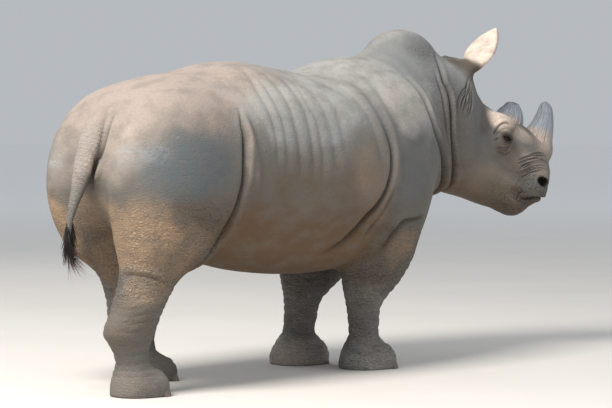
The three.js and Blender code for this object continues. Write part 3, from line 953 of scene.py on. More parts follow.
def skin_heights(p, n):
    """How far each point of the skin stands out, and the shares of its markings, painted light and
    painted shade.
    """
    folds = Folds(p, n)
    for depth, width, roll, offset, sides, run in FOLDS.values():
        folds.add(run, depth, width, roll, offset)
        if sides == 2:
            folds.add(mirrored(run), depth, width, roll, -offset)
    single = list(HEAD_FOLDS.values())
    for depth, width, roll, offset, count, first, last in FANS.values():
        single += [(depth, width, roll, offset, run) for run in fan(count, first, last)]
    for depth, width, roll, offset, run in single:
        folds.add(run, depth, width, roll, offset)
        folds.add(mirrored_head(run), depth, width, roll, -offset)
    x, y, z = p.T
    h = HEAD.local(p)
    on_head = step(h[:, 0], -140, -40) * step(x, 1420, 1560)
    muzzle = step(h[:, 0], 380, 520) * step(h[:, 2], -80, -170) * on_head
    eye = near(np.abs(h) * [1, 1, -1], np.multiply(EYE_AT, [1, 1, -1]), (80, 60, 70)) * on_head
    legs = step(z, 640, 480)
    haunch = step(x, -330, -480) * step(z, 960, 760) * step(z, 380, 520)
    arm = step(x, 520, 620) * step(x, 1250, 1150) * step(z, 780, 700)
    line_x, _, line_z = np.array(TAIL_LINE[::-1], float).T
    middle = np.interp(z, line_z, line_x)
    tail = step(x, middle + 15, middle - 15) * (np.abs(y + 12) < 92)
    tail = tail * step(z, 600, 640) * step(z, 1300, 1180)
    neck = step(x, 1180, 1260) * step(x, 1560, 1450)
    back = step(n[:, 2], 0.35, 0.8)
    cracks = 0.14 + 0.66 * haunch + 0.6 * arm + 0.24 * legs + 0.26 * neck - 0.22 * back
    cracks = np.clip(cracks, 0, 1)
    from_chin = np.linalg.norm((both_sides(h) - (440, 90, -360)) / (230, 120, 90), axis=1)
    chin = step(from_chin, 1.6, 0.5)
    for share in (0.6 * muzzle, 0.55 * chin * on_head, 0.6 * eye, 0.3 * tail):
        cracks = np.maximum(cracks, share)
    flat = np.array([70.0, 70.0, 24.0])
    warp = p + 16 * np.stack([noise(p, 90, 3), noise(p, 90, 4), noise(p, 90, 5)], 1)
    ridges = 1 - np.abs(noise(warp, flat, 7)) * 1.6
    fine = np.clip(ridges, 0, 1) ** 4
    sag = layered(p, (260, 260, 190), 11, 2)
    height = folds.height + 3.5 * sag
    height -= 3.0 * fine * cracks * (1 - on_head * 0.3)
    height -= 2.2 * muzzle * np.clip(1 - np.abs(noise(warp, 22, 17)) * 2, 0, 1) ** 2
    for name in LEGS:
        height += leg_rings(p, name)
    tail_rings = np.sin((z + x * 0.45) / 3.4 + 1.8 * noise(p, 60, 21))
    height -= tail * step(z, 760, 860) * 2.4 * np.clip(tail_rings, 0, 1)
    for ear in EARS.values():
        q = ear_axes(*ear).local(p)
        in_reach = (np.linalg.norm(q[:, 1:], axis=1) < 140) * (q[:, 0] < 320)
        height *= 1 - step(q[:, 0], 30, 90) * in_reach
    height *= step(z, 4, 26)
    marks_and_painted_light = paint_shares(p, n, h, on_head, tail, folds)
    marks_and_painted_light["cracks"] = cracks
    marks_and_painted_light["muzzle"] = np.maximum(muzzle, 0.8 * eye)
    return height, {name: np.clip(values, 0, 1) for name, values in marks_and_painted_light.items()}


# Patches of colour on both sides: tone, strength, middle (x, distance from the middle plane, z)
# and radii. Besides the hide's own tones, the mud patches low on the body also darken it as
# painted shade, and the marked patches paint light and shade.
PATCHES = [
    ("slate", 0.9, (-650, 430, 1030), (275, 260, 155)),
    ("pale", 0.2, (-890, 190, 1070), (120, 140, 150)),
    ("slate", 0.5, (1270, 180, 1560), (330, 230, 190)),
    ("slate", 0.4, (820, 440, 1120), (330, 220, 280)),
    ("slate", 0.3, (60, 450, 1150), (430, 220, 170)),
    ("slate", 0.35, (1560, 240, 1440), (190, 150, 150)),
    ("tan", 1.0, (-875, 300, 720), (170, 250, 190)),
    ("tan", 0.45, (-780, 380, 640), (230, 200, 210)),
    ("tan", 0.6, (-830, 330, 500), (160, 150, 90)),
    ("brown", 0.5, (-610, 430, 850), (190, 200, 120)),
    ("brown", 0.35, (-880, 215, 340), (170, 160, 130)),
    ("tan", 0.35, (-850, 60, 800), (120, 120, 140)),
    ("tan", 0.35, (520, 470, 1000), (190, 160, 200)),
    ("tan", 0.4, (880, 420, 620), (150, 160, 110)),
    ("brown", 0.6, (560, 430, 700), (230, 200, 170)),
    ("brown", 0.45, (150, 450, 960), (520, 200, 190)),
    ("brown", 0.7, (-420, 380, 700), (160, 200, 160)),
    ("tan", 0.4, (-640, 90, 640), (200, 130, 200)),
    # Painted shade in the neck folds.
    ("dark", 0.2, (1430, 290, 1130), (230, 200, 300)),
    ("ash_and_light", 1.0, (950, 380, 1380), (300, 230, 210)),
    ("pale", 0.22, (890, 400, 1330), (190, 200, 130)),
    ("ash_and_light", 0.95, (130, 400, 1290), (430, 220, 200)),
    # Ash that also stands as painted light on the lower fore legs.
    ("ash_and_light", 0.34, (770, 215, 230), (270, 250, 190)),
    ("brown", 0.4, (800, 300, 560), (240, 220, 190)),
    # Ash that also stands as painted light on the fore feet.
    ("ash_and_light", 0.8, (780, 215, 60), (260, 210, 120)),
    # Painted shade at the elbow crease.
    ("dark", 0.3, (640, 470, 820), (150, 150, 110)),
    # Dust that also stands as painted light on the feet.
    ("dust", 0.3, (-800, 215, 60), (190, 190, 90)),
    ("dust", 0.5, (780, 215, 60), (230, 190, 110)),
    ("ash_and_light", 0.5, (1240, 0, 1650), (330, 260, 170)),
]
# The same on the head: forward, distance from the middle plane, up.
HEAD_PATCHES = [
    # Painted highlight on the sun-lit brow.
    ("pale", 0.85, (215, 124, -10), (92, 76, 66)),
    ("pale", 0.4, (360, 90, -10), (110, 60, 40)),
    ("dust", 0.6, (500, 125, -120), (130, 70, 66)),
    ("dark", 0.6, (350, 160, -165), (180, 90, 100)),
    ("dust", 0.8, (560, 60, 20), (110, 90, 85)),
    ("slate", 0.5, (60, 190, -120), (150, 80, 190)),
    ("dark", 0.1, (120, 180, -260), (260, 90, 220)),
    ("brown", 0.4, (420, 70, -440), (300, 140, 56)),
    ("brown", 0.7, (60, 120, -480), (260, 160, 66)),
    ("dark", 0.95, (560, 100, -300), (120, 100, 44)),
    ("dark", 0.42, (500, 120, -345), (150, 90, 80)),
    # Painted shade in the band behind the eye.
    ("dark", 0.6, (120, 165, -60), (70, 60, 120)),
    ("slate", 0.45, (600, 125, -235), (80, 60, 80)),
    ("dark", 0.5, (612, 120, -250), (66, 60, 60)),
    ("tan", 0.25, (330, 150, -330), (200, 100, 110)),
]


class Tones(dict):
    """Each tone's share at every point."""

    def raise_to(self, tone, share):
        self[tone] = np.maximum(self[tone], share)

    def patch(self, p, table, edge):
        """Adds each patch of a table, with an uneven edge."""
        for tone, strength, middle, radii in table:
            far = np.linalg.norm((p - middle) / radii, axis=1)
            self.raise_to(tone, strength * step(far + edge, 1.25, 0.55))


TONES = ("dust", "ash_and_light", "tan", "slate", "brown", "pale", "dark")


def paint_shares(p, n, h, on_head, tail, folds):
    """Where each tone of the hide lies, from 0 to 1; some tones also carry painted light and
    painted shade.
    """
    x, y, z = p.T
    broad = layered(p, 330, 41, 3)
    patch = layered(p, 120, 51, 3)
    up = n[:, 2]
    tones, head_tones = (Tones((tone, np.zeros(len(p))) for tone in TONES) for _ in range(2))
    tones.patch(both_sides(p), PATCHES, 0.42 * patch + 0.2 * broad)
    head_tones.patch(both_sides(h), HEAD_PATCHES, 0.3 * patch)
    for tone, values in head_tones.items():
        tones[tone] = tones[tone] * (1 - on_head) + values * on_head
    # Dust on the upward-facing rear, which also paints the lit top lighter, as painted light.
    top = step(up + 0.3 * broad, 0.02, 0.62) * step(z, 850, 1200)
    rear = step(x + 160 * broad, 330, -260)
    tones.raise_to("dust", top * rear * (1 - 0.6 * tones["slate"]))
    # Dust on the rolled lips of the folds, which also stands as a painted highlight on the rolls.
    ridges = folds.lips * step(z, 900, 1100) * step(x, 1000, 800) * (x > -320)
    tones.raise_to("dust", 0.9 * ridges * (0.7 + 0.6 * patch))
    # Ash on the upward-facing front, which also paints the lit top lighter, as painted light.
    tones.raise_to("ash_and_light", top * (1 - rear) * (0.85 + 0.3 * patch) * step(x, 1700, 1500))
    # Mud low on the flanks and on surfaces that face down, which also darkens them as painted
    # shade.
    low = step(z + 90 * broad, 1090, 640) * step(z, 360, 560) * step(x, -560, -380)
    tones.raise_to("brown", low * step(x, 720, 560))
    tones.raise_to("brown", 0.7 * (step(-up, 0.1, 0.7) * step(z, 200, 400)))
    # Painted light: the left fore foot is made paler to lift it out of its shade.
    tones.raise_to("pale", 0.35 * step(z, 170, 100) * step(x, 500, 560) * (y > 0))
    for ear in EARS.values():
        q = ear_axes(*ear).local(p)
        on_ear = (np.linalg.norm(q[:, 1:], axis=1) < 150) * (q[:, 0] < 340)
        leaf = step(q[:, 0] + 12 * patch, 26, 74) * on_ear
        tones.raise_to("pale", leaf)
        tones["dark"] = tones["dark"] * (1 - leaf)
        tones.raise_to("dark", 0.95 * step(q[:, 0], -90, -10) * on_ear * (1 - leaf))
        tones["slate"] = tones["slate"] * (1 - leaf)
    # Painted shade in the eye sockets and nostrils: the dark tone round them, and the hollow share
    # for their darkest middle.
    outward = np.abs(h) * [1, 1, 0] + h * [0, 0, 1]
    socket = np.linalg.norm((outward - EYE_AT) * [0.72, 1, 1.0], axis=1)
    tones.raise_to("dark", 0.9 * step(socket, 43, 25) * on_head)
    hole = np.linalg.norm((outward - NOSTRIL_AT) * [1, 0.8, 1.3], axis=1)
    tones.raise_to("dark", step(hole, 46, 33) * on_head)
    tones["hollow_painted_shade"] = np.maximum(step(hole, 40, 28), 0.8 * step(socket, 34, 25)) * on_head
    tones["scuff"] = scuffs(p)
    tones.raise_to("dust", tail * step(z, 880, 1040))
    tones.raise_to("ash_and_light", 0.25 * tail)
    # The folds' painted shade.
    tones["folds"] = folds.shade
    return tones


def scuffs(p):
    """The chalky worn places beside the tail and across the haunch."""
    both = both_sides(p)
    cloud = step(noise(p, (70, 70, 34), 61) + 0.5 * noise(p, 22, 62), -0.05, 0.75)
    spots = [((-912, 250, 1078), (60, 75, 46)), ((-850, 355, 1112), (80, 60, 48))]
    scuff = sum(near(both, middle, radii) for middle, radii in spots)
    streaks = step(noise(p, (80, 80, 12), 63), 0.35, 0.8)
    scuff = scuff + 0.5 * near(both, (-660, 430, 1125), (230, 150, 90)) * streaks
    return scuff * (0.35 + 0.65 * cloud)


# ---------------------------------------------------------------- meshes and material nodes
def mesh_piece(name, points, faces):
    """A smooth mesh object from points in the frame's metres and faces with one corner count."""
    points = np.ascontiguousarray(points, np.float32)
    faces = np.ascontiguousarray(faces, np.int32)
    mesh = bpy.data.meshes.new(name)
    mesh.vertices.add(len(points))
    mesh.vertices.foreach_set("co", points.ravel())
    mesh.loops.add(faces.size)
    mesh.loops.foreach_set("vertex_index", faces.ravel())
    mesh.polygons.add(len(faces))
    starts = np.arange(0, faces.size, faces.shape[1], dtype=np.int32)
    mesh.polygons.foreach_set("loop_start", starts)
    mesh.update(calc_edges=True)
    mesh.validate()
    mesh.shade_smooth()
    piece = bpy.data.objects.new(name, mesh)
    bpy.context.scene.collection.objects.link(piece)
    return piece


def add_share(piece, name, values):
    """Stores a value at each point, for the piece's material to read."""
    share = piece.data.attributes.new(name, "FLOAT", "POINT")
    share.data.foreach_set("value", np.ascontiguousarray(values, np.float32))


class Nodes:
    """Builds a material's nodes: each call makes one node and gives its first output."""

    def __init__(self, name):
        self.material = bpy.data.materials.new(name)
        self.material.use_nodes = True
        self.tree = self.material.node_tree
        self.tree.nodes.clear()
        self.made = 0

    def node(self, kind, inputs=(), output=0, **settings):
        node = self.tree.nodes.new(kind)
        node.location = (self.made % 8 * 220, -(self.made // 8) * 260)
        self.made += 1
        for key, value in settings.items():
            setattr(node, key, value)
        for key, value in dict(inputs).items():
            socket = node.inputs[key]
            if isinstance(value, bpy.types.NodeSocket):
                self.tree.links.new(value, socket)
            else:
                socket.default_value = value
        return node.outputs[output] if node.outputs else None

    def share(self, name):
        return self.node("ShaderNodeAttribute", attribute_name=name, output="Fac")

    def place(self, scale=(1, 1, 1), turn=(0, 0, 0)):
        place = self.node("ShaderNodeTexCoord", output="Object")
        return self.node("ShaderNodeMapping", {"Vector": place, "Scale": scale, "Rotation": turn})

    def sum(self, a, b, how="ADD", clamp=False):
        return self.node("ShaderNodeMath", {0: a, 1: b}, operation=how, use_clamp=clamp)

    def product(self, a, b, clamp=False):
        return self.sum(a, b, "MULTIPLY", clamp)

    def vector(self, a, b, how="ADD"):
        return self.node("ShaderNodeVectorMath", {0: a, 1: b}, operation=how)

    def stretched(self, vector, scale):
        return self.node("ShaderNodeMapping", {"Vector": vector, "Scale": scale})

    def plates(self, vector):
        """How far each place is from the edge of its cell."""
        inputs = {"Vector": vector, "Scale": 1.0, "Randomness": 1.0}
        return self.node("ShaderNodeTexVoronoi", inputs, feature="DISTANCE_TO_EDGE")

    def noise(self, vector, scale, detail=3.0, rough=0.55, output="Fac"):
        return self.node(
            "ShaderNodeTexNoise",
            {"Vector": vector, "Scale": scale, "Detail": detail, "Roughness": rough},
            output=output,
        )

    def range(self, value, low, high, to_low=0.0, to_high=1.0):
        ends = {"From Min": low, "From Max": high, "To Min": to_low, "To Max": to_high}
        inputs = {"Value": value, **ends}
        return self.node("ShaderNodeMapRange", inputs, interpolation_type="SMOOTHSTEP")

    def mix(self, share, a, b):
        inputs = {"Factor": share, 6: a, 7: b}
        return self.node("ShaderNodeMix", inputs, output=2, data_type="RGBA")

    def bump(self, height, distance, normal=None):
        inputs = {"Height": height, "Distance": distance, "Strength": 1.0}
        if normal:
            inputs["Normal"] = normal
        return self.node("ShaderNodeBump", inputs)

    def finish(self, **inputs):
        inputs = {key.replace("_", " "): value for key, value in inputs.items()}
        shader = self.node("ShaderNodeBsdfPrincipled", inputs)
        self.node("ShaderNodeOutputMaterial", {"Surface": shader})
        return self.material


def rgb(colour, factor=1.0):
    return (*(c * factor for c in colour), 1.0)


# ---------------------------------------------------------------- what a user would change
class SkinSettings(bpy.types.PropertyGroup):
    """Sizes and colours of the hide."""

    cell: FloatProperty(
        name="Mesh size",
        description="Distance between the skin's points on the trunk",
        default=0.0075,
        unit="LENGTH",
    )
    crack_depth: FloatProperty(
        name="Crack depth",
        description="Depth of the fine cracks in the hide",
        default=0.0075,
        unit="LENGTH",
    )
    grain_depth: FloatProperty(
        name="Grain depth",
        description="Depth of the finest grain",
        default=0.0014,
        unit="LENGTH",
    )
    base: FloatVectorProperty(
        name="Hide",
        description="Main colour of the hide",
        default=(0.172, 0.160, 0.143),
        subtype="COLOR",
    )
    # Dust on the rump; on the upward-facing top, on the fold lips and on the feet it also stands as
    # painted light.
    dust: FloatVectorProperty(
        name="Dust",
        description="Pinkish dust on the rump",
        default=(0.365, 0.30, 0.262),
        subtype="COLOR",
    )
    # Grey dust on the back; on the upward-facing top and on the fore legs and feet it also stands
    # as painted light.
    ash_and_light: FloatVectorProperty(
        name="Ash",
        description="Grey dust on the back and the feet",
        default=(0.37, 0.365, 0.345),
        subtype="COLOR",
    )
    tan: FloatVectorProperty(
        name="Sand",
        description="Sandy hide of the thighs",
        default=(0.40, 0.28, 0.185),
        subtype="COLOR",
    )
    slate: FloatVectorProperty(
        name="Slate",
        description="Bluish worn hide",
        default=(0.125, 0.143, 0.152),
        subtype="COLOR",
    )
    # Mud below the flanks; low on the body and on surfaces that face down it also stands as painted
    # shade.
    brown: FloatVectorProperty(
        name="Mud and shade",
        description="Brown hide below the flanks",
        default=(0.135, 0.083, 0.047),
        subtype="COLOR",
    )
    # The ears' own pale colour, also used as a painted highlight on the brow and as painted light
    # on the left fore foot.
    pale: FloatVectorProperty(
        name="Ear",
        description="Pale back of the ears and pale brow",
        default=(0.78, 0.64, 0.54),
        subtype="COLOR",
    )
    # Darker hide, also used as painted shade in the eye sockets, the nostrils, the neck folds, the
    # elbow creases and behind the eyes.
    dark: FloatVectorProperty(
        name="Dark hide and shade",
        description="Hide of the fore legs and lips",
        default=(0.098, 0.079, 0.062),
        subtype="COLOR",
    )
    # The colour of the painted shade in the folds and cracks.
    crease: FloatVectorProperty(
        name="Creases",
        description="Inside the folds and cracks",
        default=(0.030, 0.023, 0.018),
        subtype="COLOR",
    )


class HornSettings(bpy.types.PropertyGroup):
    """Sizes and colours of the horns and nails."""

    rounds: IntProperty(
        name="Sides",
        description="Faces round each horn",
        default=120,
        min=24,
        max=400,
    )
    tip: FloatVectorProperty(
        name="Horn",
        description="Worn grey horn",
        default=(0.36, 0.40, 0.45),
        subtype="COLOR",
    )
    root: FloatVectorProperty(
        name="Horn root",
        description="Browner horn near the hide",
        default=(0.56, 0.43, 0.36),
        subtype="COLOR",
    )
    nail: FloatVectorProperty(
        name="Nail",
        description="Colour of the nails",
        default=(0.12, 0.10, 0.082),
        subtype="COLOR",
    )


class EyeSettings(bpy.types.PropertyGroup):
    """The eyes."""

    iris: FloatVectorProperty(
        name="Iris",
        description="Colour of the iris",
        default=(0.010, 0.006, 0.004),
        subtype="COLOR",
    )
    iris_size: FloatProperty(
        name="Iris size",
        description="Radius of the iris",
        default=0.0165,
        unit="LENGTH",
    )


class HairSettings(bpy.types.PropertyGroup):
    """The tail's tuft, the ears' fringe and the lashes."""

    tail_hairs: IntProperty(
        name="Tail hairs",
        description="Hairs in the tail's tuft",
        default=360,
        min=20,
        max=3000,
    )
    ear_hairs: IntProperty(
        name="Ear hairs",
        description="Hairs on each ear's rim",
        default=420,
        min=20,
        max=2000,
    )
    lashes: IntProperty(
        name="Lashes",
        description="Lashes over each eye",
        default=46,
        min=4,
        max=300,
    )
    black: FloatVectorProperty(
        name="Black hair",
        description="Colour of the bristles",
        default=(0.018, 0.014, 0.013),
        subtype="COLOR",
    )
    rust: FloatVectorProperty(
        name="Rusty hair",
        description="Colour of the tuft's long ends",
        default=(0.12, 0.05, 0.028),
        subtype="COLOR",
    )


class StageSettings(bpy.types.PropertyGroup):
    """Floor, light and camera."""

    floor: FloatVectorProperty(
        name="Floor",
        description="Colour of the floor",
        default=(0.74, 0.71, 0.67),
        subtype="COLOR",
    )
    key: FloatProperty(
        name="Key light",
        description="Strength of the main light",
        default=950.0,
        min=0.0,
    )
    fill: FloatProperty(
        name="Fill light",
        description="Strength of the light from the other side",
        default=90.0,
        min=0.0,
    )
    sky: FloatProperty(
        name="Sky",
        description="Strength of the even light from above",
        default=0.52,
        min=0.0,
    )


# ---------------------------------------------------------------- materials
CHALK = (0.42, 0.44, 0.46)
# Painted shade inside the nostrils and eye sockets.
PAINTED_HOLLOW_SHADE = (0.008, 0.006, 0.005)
WORN_HORN = (0.36, 0.38, 0.40)
PUPIL = (0.002, 0.002, 0.002)
EYE_WHITE = (0.018, 0.011, 0.009)
HORIZON = (0.98, 0.98, 0.98)


def hide_material(settings):
    """Dusty wrinkled hide: tones by region, some of them painted light and shade, cracked plates
    with painted shade in the cracks, and a fine grain.
    """
    m = Nodes("Dusty hide")
    # The tones of the regions, each with a blotched edge.
    broad = m.noise(m.place(), 2.6, 4)
    blotch = m.noise(m.place((1, 1, 1.6)), 9.0, 5, 0.6)
    speck = m.noise(m.place(), 70.0, 3, 0.6)
    tone = m.mix(m.range(broad, 0.35, 0.68), rgb(settings.base), rgb(settings.base, 0.80))
    for name in ("brown", "dust", "ash_and_light", "tan", "slate", "dark", "pale"):
        share = m.product(m.share(name), m.range(blotch, 0.28, 0.7, 0.6, 1.25), True)
        tone = m.mix(share, tone, rgb(getattr(settings, name)))
    chalk = m.product(m.share("scuff"), m.range(speck, 0.3, 0.62), True)
    tone = m.mix(chalk, tone, rgb(CHALK))
    # Level wrinkles and the plates between them, both on a wandering place.
    wander = m.noise(m.place(), 9.0, 2, 0.5, output="Color")
    wander = m.vector(wander, (0.022, 0.022, 0.022), "MULTIPLY")
    shifted = m.vector(m.place(), wander)
    shiver = m.noise(m.place(), 75.0, 2, 0.5, output="Color")
    shiver = m.vector(shiver, (0.009, 0.009, 0.009), "MULTIPLY")
    shifted = m.vector(shifted, shiver)
    level = m.stretched(shifted, (17, 17, 74))
    wrinkle = m.sum(m.sum(m.noise(level, 1.0, 1.5, 0.5), 0.5, "SUBTRACT"), 0, "ABSOLUTE")
    wrinkle = m.range(wrinkle, 0.0, 0.11)
    edge = m.plates(m.stretched(shifted, (52, 52, 96)))
    gap = m.product(m.range(wrinkle, 0.0, 0.7, 0.3, 1.0), m.range(edge, 0.0, 0.12, 0.25, 1.0))
    crack = m.sum(m.range(edge, 0.0, 0.5), 0.4, "POWER")
    crack = m.product(m.range(wrinkle, 0.0, 1.0, 0.3, 1.0), crack)
    pebble = m.range(m.plates(m.stretched(shifted, (95, 95, 140))), 0.0, 0.3)
    lines = m.sum(m.product(m.sum(crack, -1.0), m.share("cracks")), 1.0)
    # Painted shade: darker in the cracks, in the folds, and in the nostrils and eye sockets.
    gap = m.product(m.sum(1.0, gap, "SUBTRACT"), m.share("cracks"))
    tone = m.mix(m.product(gap, 0.36, True), tone, rgb(settings.crease))
    tone = m.mix(m.product(m.share("folds"), 0.85, True), tone, rgb(settings.crease))
    tone = m.mix(m.share("hollow_painted_shade"), tone, rgb(PAINTED_HOLLOW_SHADE))
    tone = m.mix(m.range(speck, 0.3, 0.7, 0.0, 0.16), tone, rgb(settings.base, 0.62))
    # Relief.
    small_share = m.sum(m.share("muzzle"), 0.35, "ADD", True)
    grain = m.sum(m.product(pebble, small_share), m.product(speck, 0.6))
    normal = m.bump(lines, settings.crack_depth)
    normal = m.bump(grain, settings.grain_depth, normal)
    rough = m.range(blotch, 0.2, 0.8, 0.72, 0.9)
    return m.finish(Base_Color=tone, Roughness=rough, Normal=normal, Specular_IOR_Level=0.3)


def horn_material(settings):
    """Fibrous horn, worn grey above and browner at the root."""
    m = Nodes("Worn horn")
    height = m.share("height")
    along = {0: m.share("turn"), 1: m.product(height, 0.35), 2: 0.0}
    fibre = m.noise(m.node("ShaderNodeCombineXYZ", along), 7.0, 5, 0.62)
    blotch = m.noise(m.place(), 22.0, 4, 0.6)
    grey = m.range(m.sum(height, m.product(blotch, 0.3)), 0.42, 0.72)
    tone = m.mix(grey, rgb(settings.root), rgb(settings.tip))
    tone = m.mix(m.range(fibre, 0.42, 0.64, 0.0, 0.75), tone, rgb(settings.tip, 0.42))
    tone = m.mix(m.range(blotch, 0.52, 0.78, 0.0, 0.5), tone, rgb(WORN_HORN))
    normal = m.bump(fibre, 0.012)
    normal = m.bump(m.noise(m.place(), 160.0, 3), 0.0012, normal)
    rough = m.range(blotch, 0.2, 0.8, 0.5, 0.78)
    return m.finish(Base_Color=tone, Roughness=rough, Normal=normal)


def nail_material(settings):
    """Dull ridged nail with lighter blotches and darker streaks."""
    m = Nodes("Dull nail")
    grooves = m.noise(m.place((1, 1, 0.12)), 90.0, 3)
    blotch = m.noise(m.place(), 30.0, 4)
    tone = m.mix(m.range(blotch, 0.35, 0.7), rgb(settings.nail), rgb(settings.nail, 1.7))
    tone = m.mix(m.range(grooves, 0.45, 0.7, 0, 0.6), tone, rgb(settings.nail, 0.5))
    rough = m.range(blotch, 0.2, 0.8, 0.45, 0.7)
    return m.finish(Base_Color=tone, Roughness=rough, Normal=m.bump(grooves, 0.002))


def eye_material(settings):
    """A dark brown iris round a black pupil, under a wet surface."""
    m = Nodes("Wet eye")
    out = m.share("out")
    streak = m.noise(m.place(), 420.0, 3)
    iris = m.mix(m.range(streak, 0.3, 0.7), rgb(settings.iris), rgb(settings.iris, 2.6))
    tone = m.mix(m.range(out, 0.40, 0.46), rgb(PUPIL), iris)
    tone = m.mix(m.range(out, 0.90, 1.06), tone, rgb(EYE_WHITE))
    return m.finish(
        Base_Color=tone,
        Roughness=0.3,
        Specular_IOR_Level=0.12,
        Coat_Weight=0.12,
        Coat_Roughness=0.06,
        Normal=m.bump(streak, 0.0002),
    )


def hair_material(name, root, tip):
    """Stiff hair that changes from root to tip."""
    m = Nodes(name)
    streak = m.noise(m.place(), 260.0, 3)
    tone = m.mix(m.range(m.share("along"), 0.35, 0.95), root, tip)
    tone = m.mix(m.range(streak, 0.3, 0.7, 0, 0.5), tone, rgb(root[:3], 2.2))
    rough = m.range(streak, 0.2, 0.8, 0.45, 0.65)
    return m.finish(Base_Color=tone, Roughness=rough, Normal=m.bump(streak, 0.0004))


def floor_material(settings):
    """A pale clouded floor that grows lighter far away."""
    m = Nodes("Pale floor")
    cloud = m.noise(m.place(), 0.8, 4)
    tone = m.mix(m.range(cloud, 0.3, 0.7), rgb(settings.floor), rgb(settings.floor, 0.96))
    far = m.node("ShaderNodeVectorMath", {0: m.place()}, operation="LENGTH", output="Value")
    tone = m.mix(m.range(far, 4.0, 26.0), tone, rgb(HORIZON))
    relief = m.bump(m.noise(m.place(), 40.0, 3), 0.0008)
    return m.finish(Base_Color=tone, Roughness=0.9, Normal=relief)


# ---------------------------------------------------------------- pieces
FLESH_NODES = (
    ["trunk", "neck", "head", "ear_right", "ear_left", "tail"]
    + [f"leg_{leg}_{half}" for leg in LEGS for half in ("upper", "lower")]
    + [f"foot_{leg}" for leg in LEGS]
)


def finish_piece(piece, material, slot, *nodes):
    """Gives a piece its material and its place on the frame."""
    piece.data.materials.append(material)
    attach(piece, "root")
    if nodes:
        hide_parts(*nodes)


SOLE_FLAT = 1.5


class RHINO_OT_skin(bpy.types.Operator):
    """Make the one skin that covers the head, trunk, legs, ears and tail"""

    bl_idname = "rhino.skin"
    bl_label = "Skin"

    def execute(self, context):
        settings = context.scene.rhino_skin
        cell = settings.cell * 1000 * 1
        points, quads = body_net(cell)
        points = settle(points, 1, cell / 2)
        for _ in range(2):
            points = settle(eased(points, quads), 1, cell / 2)
        normals = normals_of(points, quads)
        height, marks_and_painted_light = skin_heights(points, normals)
        points = points + normals * height[:, None]
        points[:, 2] = np.where(points[:, 2] < SOLE_FLAT, 0, points[:, 2])
        skin = mesh_piece("skin", to_frame(points), quads)
        for name, values in marks_and_painted_light.items():
            add_share(skin, name, values)
        finish_piece(skin, hide_material(settings), "skin", *FLESH_NODES)
        return {"FINISHED"}


def circle(count):
    """Angles spread evenly round a full turn."""
    return np.arange(count) / count * 2 * np.pi


def ring_faces(rings, rounds):
    """Quads between rings of points, from each ring to the next."""
    a = np.arange(rings - 1)[:, None] * rounds + np.arange(rounds)[None]
    b = np.arange(rings - 1)[:, None] * rounds + (np.arange(rounds)[None] + 1) % rounds
    return np.stack([a, b, b + rounds, a + rounds], -1).reshape(-1, 4)


def in_triangles(quads):
    return np.concatenate([quads[:, [0, 1, 2]], quads[:, [0, 2, 3]]])


def closed_rings(rings, rounds):
    """Which points and faces stay when each end ring of a closed form is drawn in to one point."""
    end = (rings - 1) * rounds
    quads = ring_faces(rings, rounds)
    quads = np.where(quads < rounds, 0, np.minimum(quads, end))
    faces = in_triangles(quads)
    a, b, c = faces.T
    faces = faces[(a != b) & (b != c) & (c != a)]
    kept = np.append(0, np.arange(rounds, end + 1))
    return kept, np.searchsorted(kept, faces)


HORN_RINGS = 90
FRAY_AT, TIP_FROM, HORN_EASE = 0.24, 0.93, 0.07


def horn_swell(share, turn, seed):
    """How far a horn's surface stands out at each share of its length and angle round it."""
    parts = np.broadcast_arrays(np.cos(turn) * 9 + seed, np.sin(turn) * 9, share * 3.0)
    where = np.stack(parts, -1).reshape(-1, 3)
    groove = noise(where, 1.0, 5).reshape(len(share), -1)
    fine = noise(where * [2.6, 2.6, 1], 1.0, 9).reshape(groove.shape)
    fray = np.exp(-(((share - FRAY_AT) / HORN_EASE) ** 2))
    end = np.sqrt(np.clip(1 - ((share - TIP_FROM) / HORN_EASE).clip(0) ** 2, 0, 1))
    return (1 + 0.05 * groove + 0.035 * fine + 0.06 * fray) * np.maximum(end, 0.02)


def horn_rings(line, girth, rounds, seed):
    """A horn's rings of points along its smooth line."""
    line = np.column_stack([np.linspace(0, 1, len(line)), line])
    line = smooth_table(line, HORN_RINGS)[:, 1:]
    sizes = smooth_table(girth, HORN_RINGS)
    tangent = np.gradient(line, axis=0)
    tangent /= np.linalg.norm(tangent, axis=1)[:, None]
    u = RIGHT - tangent * (tangent @ RIGHT)[:, None]
    u /= np.linalg.norm(u, axis=1)[:, None]
    v = np.cross(tangent, u)
    turn = circle(rounds)[None]
    swell = horn_swell(np.linspace(0, 1, HORN_RINGS)[:, None], turn, seed)
    x = np.cos(turn) * sizes[:, 1:2] * swell
    y = np.sin(turn) * sizes[:, 2:3] * swell
    return line[:, None] + u[:, None] * x[..., None] + v[:, None] * y[..., None]


